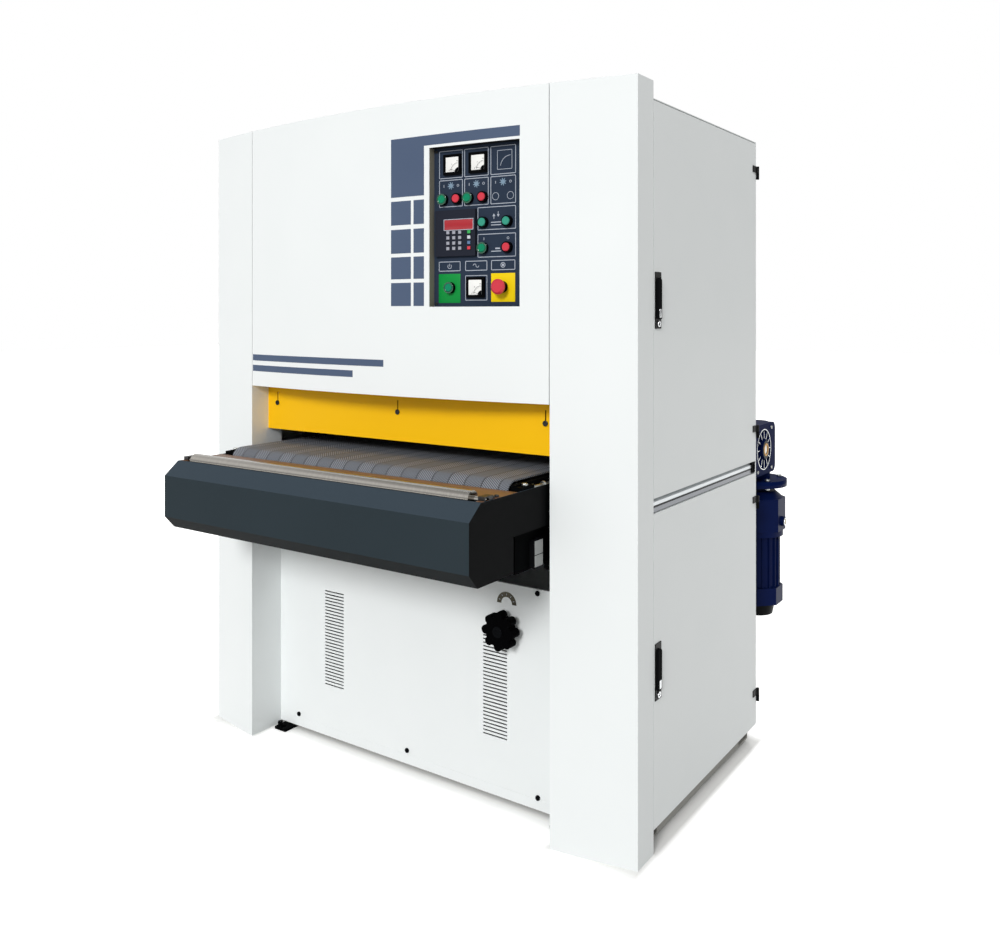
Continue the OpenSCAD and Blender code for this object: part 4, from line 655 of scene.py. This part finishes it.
def at(x, y, z, turn=0, tilt=0):  # place of a shape that faces -Y: turned about Z after a tilt about X
    spot = Matrix.Translation(Vector((x, y, z)) * mm)
    return spot @ Matrix.Rotation(math.radians(turn), 4, "Z") @ Matrix.Rotation(math.radians(tilt), 4, "X")


towardsRight, towardsBack, towardsLeft, upwards, downwards = (90, 0), (180, 0), (-90, 0), (0, -90), (0, 90)

# colour blocks and stripes on the bowed front: flat film laid on the cover
film = {"thick": 0.35, "start": -700, "step": 20,
        "blocks": [(55, 168, 1644, 1803), (168, 459, 1776, 1803)],
        "rows": [(1568, 1633), (1491, 1556), (1421, 1481), (1348, 1411)], "columns": [(55, 124), (133, 168)],
        "stripes": [(-552, 27, 1181, 1200), (-552, -89, 1148, 1167)]}


def layFilm(x0, x1, z0, z1):
    bpy.ops.object.select_all(action="DESELECT")
    bpy.ops.mesh.primitive_grid_add(x_subdivisions=max(2, round((x1 - x0) / film["step"])), y_subdivisions=2,
                                    size=mm, rotation=(math.radians(90), 0, 0),
                                    location=Vector(((x0 + x1) / 2, film["start"], (z0 + z1) / 2)) * mm)
    piece = bpy.context.object
    piece.scale = (x1 - x0, z1 - z0, 1)
    bakePlace(piece)
    finishWith(piece, "SHRINKWRAP", target=nodes["front_cover"], wrap_method="PROJECT", use_project_y=True)
    thicken(piece, film["thick"])
    return piece


blocks = film["blocks"] + [column + row for row in film["rows"] for column in film["columns"]]
dress(joinAs("coverBlocks", [layFilm(*block) for block in blocks]), vinyl, "machine")
dress(joinAs("coverStripes", [layFilm(*stripe) for stripe in film["stripes"]]), vinyl, "machine")
print("film on the cover,", len(blocks) + len(film["stripes"]), "pieces")

# control panel: printed lines, marks, plates, meters and keys on the plate in the window
panel = {"middle": (322, -515.62, 1557.2), "turn": 4.861, "plate": 27,
         "line": 1.8, "print": 0.25, "corner": 2.5,
         "columns": [(-121, -47), (-42, 32), (38, 113)], "rows": [(1687, 1761), (1611, 1683)],
         "groups": [(-1, 113, 1545, 1605), (-1, 113, 1474, 1535), (-39, 28, 1362, 1428)],
         "labels": [(-122, -54, 1440, 1466), (-39, 28, 1440, 1466), (40, 111, 1440, 1466)]}
panelPlace = at(*panel["middle"], panel["turn"])


def onPanel(u, depth, z):  # place on the panel, depth from the front cover inwards
    return panelPlace @ Matrix.Translation(Vector((u, depth, z)) * mm)


def printed(name, pieces):  # flat shapes drawn in panel places become one thin layer of ink on the plate
    layer = joinAs(name, pieces)
    thicken(layer, panel["print"])
    fit(name, layer, onPanel(0, panel["plate"], 0), paleInk, "machine")


def boxed(u0, u1, z0, z1):
    middle = ((u0 + u1) / 2, 0, (z0 + z1) / 2 - panel["middle"][2])
    return hollow(newFlat(u1 - u0, z1 - z0, middle, panel["corner"]), panel["line"])


outlines = [column + row for row in panel["rows"] for column in panel["columns"]]
outlines += panel["groups"] + panel["labels"]
printed("panelFrames", [boxed(*outline) for outline in outlines])

# buttons: heights of their rows and the start and stop of each pair, the last pair being spare places
rows = {"starters": 74, "table": 8, "feed": -59, "labels": -104, "power": -161}
starters, feedPair = [(-106, -62), (-27, 17), (53, 97)], (18, 90)

# generic marks: bar for on, ring for off, and rings on the spare places
marks = {"bar": (1.6, 7), "barCorner": 0.5, "ring": 3.4, "line": 1.1, "spare": 10,
         "over": 36, "overFeed": 24}
signHeight = rows["starters"] + marks["over"]
inked = []
for pair, z in [(pair, signHeight) for pair in starters] + [(feedPair, rows["feed"] + marks["overFeed"])]:
    inked.append(newFlat(*marks["bar"], (pair[0], 0, z), marks["barCorner"]))
    inked.append(hollow(newDisc(marks["ring"], (pair[1], 0, z)), marks["line"]))
for u in starters[-1]:
    inked.append(hollow(newDisc(marks["spare"], (u, 0, rows["starters"])), marks["line"]))

# arrows up and down over the table's two lines, a load on the belt's line
arrow = {"places": ((48, 1), (61, -1)), "radius": 4.6, "corner": 0.6, "rise": 17,
         "stem": (1.6, 9), "stemCorner": 0.4, "stemReach": 5}
for u, up in arrow["places"]:
    z = rows["table"] + arrow["rise"]
    head = newDisc(arrow["radius"], (0, 0, 0), 3)
    roundCorners(head, arrow["corner"], 2)
    turned = Matrix.Rotation(math.radians(0 if up > 0 else 180), 4, "Y")
    putAt(head, Matrix.Translation(Vector((u, 0, z)) * mm) @ turned)
    inked += [head, newFlat(*arrow["stem"], (u, 0, z - up * arrow["stemReach"]), arrow["stemCorner"])]
deck = {"u": 54.5, "size": (30, 2.2), "corner": 0.8, "drops": (("table", 1), ("table", 8), ("feed", 9))}
for row, drop in deck["drops"]:
    inked.append(newFlat(*deck["size"], (deck["u"], 0, rows[row] - drop), deck["corner"]))
load = {"u": 59, "size": (14, 3.6), "corner": 1.0, "drop": 2}
inked.append(newFlat(*load["size"], (load["u"], 0, rows["feed"] - load["drop"]), load["corner"]))

# labels: an open ring with a bar, one wave, a ring with a square
opened = {"u": -88, "radius": 6.5, "line": 1.5, "cut": 4, "bar": (1.6, 8), "barRise": 3, "barCorner": 0.5}
z = rows["labels"]
ring = hollow(newDisc(opened["radius"], (opened["u"], 0, z)), opened["line"])
inked.append(keepSide(ring, (opened["u"], 0, z + opened["cut"]), (0, 0, -1)))
inked.append(newFlat(*opened["bar"], (opened["u"], 0, z + opened["barRise"]), opened["barCorner"]))
ripple = {"halves": ((-10.3, 1), (-1.7, -1)), "radius": 5, "line": 1.4}
for u, up in ripple["halves"]:
    ring = hollow(newDisc(ripple["radius"], (u, 0, z)), ripple["line"])
    inked.append(keepSide(ring, (0, 0, z), (0, 0, up)))
halt = {"u": 75, "radius": 7, "line": 1.6, "square": (6, 6), "corner": 0.8}
inked.append(hollow(newDisc(halt["radius"], (halt["u"], 0, z)), halt["line"]))
inked.append(newFlat(*halt["square"], (halt["u"], 0, z), halt["corner"]))

# printed meter on the spare place: a frame with an arc in it
spare = {"size": (44, 50), "middle": (80, 0, 167), "corner": 2, "line": 1.2,
         "arc": 30, "pivot": (97, 0, 148), "foot": (97, 0, 152)}
inked.append(hollow(newFlat(*spare["size"], spare["middle"], spare["corner"]), spare["line"]))
arc = hollow(newDisc(spare["arc"], spare["pivot"], 64), spare["line"])
for point, direction in ((spare["pivot"], (-1, 0, 0)), (spare["foot"], (0, 0, 1))):
    keepSide(arc, point, direction)
printed("panelMarks", inked + [arc])

# motor sign over each pair of starters: a round with eight teeth
motor = {"places": (-84, -5, 75), "radius": 6, "thick": 0.3, "sides": 16, "tooth": 4}
sign = newRound(motor["radius"], motor["thick"], motor["sides"])
toothStep = 360 / motor["sides"]
pickFaces(sign, lambda normal: abs(normal.y) < 1 - squareOn and
          round(math.degrees(math.atan2(normal.z, normal.x)) / toothStep - 0.5) % 2 == 0)
bpy.ops.mesh.extrude_region_shrink_fatten(TRANSFORM_OT_shrink_fatten={"value": motor["tooth"] * mm})
closeEdit()
signPlaces = [onPanel(u, panel["plate"], signHeight) for u in motor["places"]]
dress(setOut("motorSigns", sign, signPlaces), blueInk, "machine")

# plates under the power and stop buttons, each with the button's hole
plates = {"thick": 0.8, "edge": 0.3, "hole": 15, "drill": 10,
          "powerPlate": {"middle": (-88, 1394.5), "size": (68, 77), "button": -84, "finish": greenPlate},
          "stopPlate": {"middle": (75.5, 1395), "size": (71, 74), "button": 75, "finish": yellowPlate}}
for name in ("powerPlate", "stopPlate"):
    button, (u, z), (width, tall) = plates[name]["button"], plates[name]["middle"], plates[name]["size"]
    plate = newBlock((width, plates["thick"], tall), (u, -plates["thick"] / 2, z - panel["middle"][2]),
                     plates["edge"])
    cutter = newRound(plates["hole"], plates["drill"], 48)
    cutter.location = Vector((button, plates["drill"] / 2, rows["power"])) * mm
    finishWith(plate, "BOOLEAN", object=cutter, operation="DIFFERENCE", solver="EXACT")
    bpy.data.objects.remove(cutter)
    fit(name, plate, onPanel(0, panel["plate"], 0), plates[name]["finish"], "machine")

# meters: white face, black corner over the movement, scale with ticks and numbers, needle
meter = {"places": [(-76, 165), (3, 165), (-5, -161)], "floor": 20,
         "face": 39, "card": 0.5, "cardEdge": 0.15, "print": 0.15, "corner": 11,
         "scale": 24, "scaleLine": 0.7, "swing": (98, 172),
         "ticks": 9, "tick": (0.6, 3.5),
         "numbers": {"0": 172, "5": 135, "10": 98}, "digits": 5, "digitsOut": 4.5,
         "needle": 164, "needleWidth": 0.9, "needleFrom": 8, "needleOut": 3}
pivot = Vector((meter["face"] / 2, 0, -meter["face"] / 2))


def rayAt(angle):
    return Vector((math.cos(math.radians(angle)), 0, math.sin(math.radians(angle))))


def spoke(width, inner, outer, angle):  # flat bar along a ray from the needle's pivot
    bar = newFlat(outer - inner, width, ((inner + outer) / 2, 0, 0))
    putAt(bar, Matrix.Translation(pivot * mm) @ Matrix.Rotation(math.radians(-angle), 4, "Y"))
    return bar


def dialNumber(text, angle):  # flat digits outside the scale
    bpy.ops.object.select_all(action="DESELECT")
    bpy.ops.object.text_add()
    digits = bpy.context.object
    digits.data.body = text
    digits.data.size = meter["digits"] * mm
    digits.data.align_x, digits.data.align_y = "CENTER", "CENTER"
    bpy.ops.object.convert(target="MESH")
    spot = pivot + rayAt(angle) * (meter["scale"] + meter["digitsOut"])
    putAt(digits, Matrix.Translation(spot * mm) @ Matrix.Rotation(math.radians(90), 4, "X"))
    return digits


meterFace = newBlock((meter["face"], meter["card"], meter["face"]), (0, -meter["card"] / 2, 0),
                     meter["cardEdge"])
meterCorner = newDisc(meter["corner"], pivot, 48)
for direction in ((-1, 0, 0), (0, 0, 1)):
    keepSide(meterCorner, pivot, direction)
first, last = meter["swing"]
scaleArc = hollow(newDisc(meter["scale"], pivot, 96), meter["scaleLine"])
for angle in (first + 90, last - 90):
    keepSide(scaleArc, pivot, rayAt(angle))
drawn = [scaleArc, spoke(meter["needleWidth"], meter["needleFrom"], meter["scale"] + meter["needleOut"],
                         meter["needle"])]
for tick in range(meter["ticks"]):
    width, length = meter["tick"]
    angle = first + tick * (last - first) / (meter["ticks"] - 1)
    drawn.append(spoke(width, meter["scale"] - length, meter["scale"], angle))
drawn += [dialNumber(text, angle) for text, angle in meter["numbers"].items()]
meterScale = joinAs("meterScale", drawn)
for layer in (meterCorner, meterScale):
    thicken(layer, meter["print"])
onFloor = [onPanel(u, meter["floor"], z) for u, z in meter["places"]]
onCard = [onPanel(u, meter["floor"] - meter["card"], z) for u, z in meter["places"]]
dress(setOut("meterFaces", meterFace, onFloor), dialWhite, "machine")
dress(setOut("meterCorners", meterCorner, onCard), blackPlastic, "machine")
dress(setOut("meterScales", meterScale, onCard), blackInk, "machine")

# digital readout: red window in a pale frame, twelve grey keys and a column of coloured ones
readout = {"middle": (-65, -17), "front": 17, "window": (90, 28), "shift": 11, "rise": 22,
           "glass": 1.2, "glassEdge": 0.4, "glassGap": 1, "glassDepth": 1.5,
           "rim": 2, "rimCorner": 1, "rimLine": 1.6, "rimThick": 0.6,
           "keyFront": 15.5, "key": (9.4, 1.0, 8.4), "keyEdge": 0.3, "keyBorder": 1.2, "keyDish": -0.25,
           "columns": (-21, -2.5, 16, 44), "rows": (1.5, -12.5, -26.5, -40.5)}
u, z = readout["middle"]
width, tall = readout["window"]
windowAt = (u + readout["shift"], z + readout["rise"])
glass = newBlock((width - readout["glassGap"], readout["glass"], tall - readout["glassGap"]),
                 (0, -readout["glass"] / 2, 0), readout["glassEdge"])
glassPlace = onPanel(windowAt[0], readout["front"] + readout["glassDepth"], windowAt[1])
fit("displayWindow", glass, glassPlace, redWindow, "machine")
rim = hollow(newFlat(width + readout["rim"], tall + readout["rim"], (0, 0, 0), readout["rimCorner"]),
             readout["rimLine"])
thicken(rim, readout["rimThick"])
fit("displayFrame", rim, onPanel(windowAt[0], readout["front"], windowAt[1]), paleInk, "machine")
keyRows = {"digitKeys": ([(c, r) for c in range(3) for r in range(4)], greyKey),
           "enterKey": ([(3, 0)], greenKey), "clearKey": ([(3, 1)], whiteKey),
           "modeKey": ([(3, 2)], blueKey), "haltKey": ([(3, 3)], redKey)}
for name, (cells, material) in keyRows.items():
    key = newBlock(readout["key"], (0, -readout["key"][1] / 2, 0), readout["keyEdge"])
    dish(key, frontFace, readout["keyBorder"], readout["keyDish"])
    places = [onPanel(u + readout["columns"][c], readout["keyFront"], z + readout["rows"][r])
              for c, r in cells]
    dress(setOut(name, key, places), material, "machine")

# collars round the start buttons, and the panel's own screws
collar = {"inner": 11.3, "outer": 14.9, "length": 3, "edge": 0.7, "depth": 16.2}
starts = [(starters[0][0], rows["starters"]), (starters[1][0], rows["starters"]),
          (feedPair[0], rows["feed"]), (plates["powerPlate"]["button"], rows["power"])]
startRim = newRing(collar["inner"], collar["outer"], collar["length"], collar["edge"])
rimPlaces = [onPanel(u, collar["depth"], z) for u, z in starts]
dress(setOut("startRims", startRim, rimPlaces), guardGreen, "machine")
panelScrew = {"radius": 4, "height": 2.2,
              "places": [(-129, 203), (129, 203), (-129, -203), (129, -203), (129, -4), (-131, -17)]}
screwPlaces = [onPanel(u, panel["plate"], z) for u, z in panelScrew["places"]]
dress(setOut("panelScrews", newScrew(panelScrew["radius"], panelScrew["height"]), screwPlaces), darkSteel,
      "machine")
print("control panel drawn")

# screws of the sheet metal: radius, height, finish and places on each sheet's face
faces = {"lower": -368, "guard": -421.29, "left": -762.5, "rear": 366, "roof": 1856.7}
sheetScrews = {
    "lowerPanelScrews": (7, 4, blackPlastic, [at(x, faces["lower"], z) for x, z in
                                              ((-473, 48), (-23, 50), (429, 43), (428, 585))]),
    "guardScrews": (7.5, 4, darkSteel, [at(x, faces["guard"], 1045) for x in (-513.6, -14, 485.6)]),
    "leftPanelScrews": (6, 3, zinc, [at(faces["left"], y, z, *towardsLeft) for y in (-345, 345)
                                     for z in (80, 440, 815, 858, 1350, 1832)]),
    "rearPanelScrews": (6, 3, zinc, [at(x, faces["rear"], z, *towardsBack) for x in (-744, 700)
                                     for z in (90, 480, 860, 1240, 1620, 1835)]),
    "roofScrews": (6, 3, zinc, [at(x, y, faces["roof"], *upwards) for x in (-740, 0, 740)
                                for y in (-330, 345)]),
}
for name, (radius, tall, material, places) in sheetScrews.items():
    dress(setOut(name, newScrew(radius, tall), places), material, "machine")

# rolled beads round the dust spigots
bead = {"inner": 74.6, "outer": 78, "length": 7, "edge": 2.2, "x": -8.5, "y": (-129, 151), "z": 1927}
beadRing = newRing(bead["inner"], bead["outer"], bead["length"], bead["edge"])
beadPlaces = [at(bead["x"], y, bead["z"], *upwards) for y in bead["y"]]
dress(setOut("spigotBeads", beadRing, beadPlaces), whiteCoat, "machine")

# arched scale over the hand knob, and the knob's cap
arch = {"middle": (328.5, -368, 541), "inner": 17.5, "outer": 31.5, "foot": (0, 0, -1), "thick": 0.8,
        "marks": (20, 55, 90, 125, 160), "mark": (5, 1.4), "markCorner": 0.4, "print": 0.2}
scale = hollow(newDisc(arch["outer"], (0, 0, 0), 72), arch["outer"] - arch["inner"])
keepSide(scale, arch["foot"], (0, 0, 1))
thicken(scale, arch["thick"])
fit("knobScale", scale, at(*arch["middle"]), etchedPlate, "machine")
archMark = newFlat(*arch["mark"], ((arch["inner"] + arch["outer"]) / 2, 0, 0), arch["markCorner"])
thicken(archMark, arch["print"])
archFront = at(*arch["middle"]) @ Matrix.Translation((0, -arch["thick"] * mm, 0))
markPlaces = [archFront @ Matrix.Rotation(math.radians(-angle), 4, "Y") for angle in arch["marks"]]
dress(setOut("knobScaleMarks", archMark, markPlaces), paleInk, "machine")
knobCap = {"radius": 15, "height": 2.4, "place": (335, -422, 479)}
fit("knobCap", newScrew(knobCap["radius"], knobCap["height"], 48), at(*knobCap["place"]), blackPlastic,
    "hand_knob")

# door side: locks under the levers and bright inserts on the levers
lock = {"y": -343, "x": 765, "drop": 58, "ring": (3.2, 8, 3.6, 0.8)}
insert = {"x": 770.3, "drop": 32, "size": (11, 1.2, 21), "edge": 0.5, "border": 1.6, "sink": -0.5}
for which, handle in (("upper", 1360.5), ("lower", 444)):
    barrelPlace = at(lock["x"], lock["y"], handle - lock["drop"], *towardsRight)
    fit(which + "LockBarrel", newRing(*lock["ring"]), barrelPlace, chrome, which + "_door")
    badge = newBlock(insert["size"], (0, -insert["size"][1] / 2, 0), insert["edge"])
    dish(badge, frontFace, insert["border"], insert["sink"])
    badgePlace = at(insert["x"], lock["y"], handle - insert["drop"], *towardsRight)
    fit(which + "LeverInsert", badge, badgePlace, chrome, which + "_lever")

# rubber seal and end clip of the rail
railTrim = {"seal": ((7.6, 722, 4.6), (754.4, -1, 851), 1.6), "clip": ((7, 28, 31), (758, 348, 853.5), 1.2),
            "clipBorder": 5, "clipSink": -3}
seal = newBlock(*railTrim["seal"])
seal.name = "railSeal"
dress(seal, veeRubber, "machine")
clip = newBlock(*railTrim["clip"])
dish(clip, rightFace, railTrim["clipBorder"], railTrim["clipSink"])
clip.name = "railEndClip"
dress(clip, blackPlastic, "machine")
print("screws, scale, locks and rail trim set")

# feed drive: bush and seal of the hub, a bright rim and rib faces that are painted highlights on the glossy
# navy, and bolts of the case; rings as bore, radius, length
hub = {"x": 733.5, "y": 526, "z": 885.7, "front": 739.5, "edge": 0.3, "bush": (14.4, 21, 1.6),
       "seal": (21.3, 29.6, 0.9), "rim": (63.4, 66.4, 0.6), "rimEdge": 0.2,
       "ribs": 12, "rib": (0.6, 2.8, 25), "ribMiddle": 48, "ribEdge": 0.25, "bolt": (5.5, 4), "boltsOut": 66}
hubFront = at(hub["front"], hub["y"], hub["z"], *towardsRight)
fit("hubBush", newRing(*hub["bush"], hub["edge"]), hubFront, bronze, "table")
fit("hubSeal", newRing(*hub["seal"], hub["edge"]), hubFront, veeRubber, "table")
rib = newBlock(hub["rib"], (hub["rib"][0] / 2, 0, hub["ribMiddle"]), hub["ribEdge"])
hubPlace = at(hub["x"], hub["y"], hub["z"])
ribPlaces = [hubPlace @ Matrix.Rotation(2 * math.pi * i / hub["ribs"], 4, "X") for i in range(hub["ribs"])]
# painted highlight: bright faces on the ribs
dress(setOut("hubRibHighlights", rib, ribPlaces), ribHighlightMetal, "table")
hubFace = at(hub["x"], hub["y"], hub["z"], *towardsRight)
# painted highlight: bright rim round the hub
fit("hubRimHighlight", newRing(*hub["rim"], hub["rimEdge"]), hubFace, ribHighlightMetal, "table")
out = hub["boltsOut"]
casePlaces = [at(hub["x"], hub["y"] + y, hub["z"] + z, *towardsRight)
              for y in (-out, out) for z in (-out, out)]
dress(setOut("gearCaseBolts", newScrew(*hub["bolt"]), casePlaces), zinc, "table")

# bolts through the flanges between gearbox and motor, with hexagon heads on both sides
flange = {"x": 679.5, "y": 601, "reach": 84, "top": 779.7, "bottom": 757.7, "bolt": (8.5, 6.5, 6)}
boltPlaces = []
for quarter in range(4):
    angle = math.radians(45 + 90 * quarter)
    x, y = (flange["x"] + flange["reach"] * math.cos(angle), flange["y"] + flange["reach"] * math.sin(angle))
    boltPlaces += [at(x, y, flange["top"], *upwards), at(x, y, flange["bottom"], *downwards)]
dress(setOut("flangeBolts", newScrew(*flange["bolt"]), boltPlaces), zinc, "table")

# oil sight glass in a bright ring
sight = {"place": (777.5, 601, 643.4), "ring": (9, 13, 2, 0.6), "glass": (9.1, 1.2, 40),
         "border": 5, "dome": 0.8}
sightPlace = at(*sight["place"], *towardsRight)
fit("sightRing", newRing(*sight["ring"]), sightPlace, chrome, "table")
sightGlass = dish(newRound(*sight["glass"]), frontFace, sight["border"], sight["dome"])
fit("sightGlass", sightGlass, sightPlace, oilGlass, "table")

# table: belt tension screws with lock nuts, bolts on the bearing blocks, plate screws
trim = {"sides": (-535.75, 518.75), "rod": (5.5, 132, 24), "rodEdge": 0.8, "rodY": -409, "rodZ": 900,
        "nut": (5.6, 10, 8, 0.9), "nutsY": (-533, -480),
        "blockBolt": (8, 6, 6), "blockY": -571, "blockZ": 910.7,
        "plateScrew": (5.5, 5), "plateY": (-706, -690), "plateZ": 903}
rod = newRound(*trim["rod"])
roundEdges(rod, trim["rodEdge"])
rodPlaces = [at(x, trim["rodY"], trim["rodZ"]) for x in trim["sides"]]
dress(setOut("tensionScrews", rod, rodPlaces), zinc, "table")
nutPlaces = [at(x, y, trim["rodZ"]) for x in trim["sides"] for y in trim["nutsY"]]
dress(setOut("tensionNuts", newRing(*trim["nut"]), nutPlaces), zinc, "table")
blockPlaces = [at(x, trim["blockY"], trim["blockZ"], *upwards) for x in trim["sides"]]
dress(setOut("blockBolts", newScrew(*trim["blockBolt"]), blockPlaces), zinc, "table")
platePlaces = [at(x, y, trim["plateZ"], *upwards) for x in trim["sides"] for y in trim["plateY"]]
dress(setOut("plateScrews", newScrew(*trim["plateScrew"]), platePlaces), darkSteel, "table")

# dished cover plates on the limit switch
switch = {"x": 524.2, "y": -515.5, "thick": 1.4, "wide": 36, "plates": ((752, 34), (719, 28)), "edge": 0.5,
          "border": 2.5, "sink": -0.5}
covers = []
for z, tall in switch["plates"]:
    cover = newBlock((switch["thick"], switch["wide"], tall), (switch["x"], switch["y"], z), switch["edge"])
    covers.append(dish(cover, rightFace, switch["border"], switch["sink"]))
dress(joinAs("switchPlates", covers), greyPlastic, "table")
print("feed drive and table trim set")
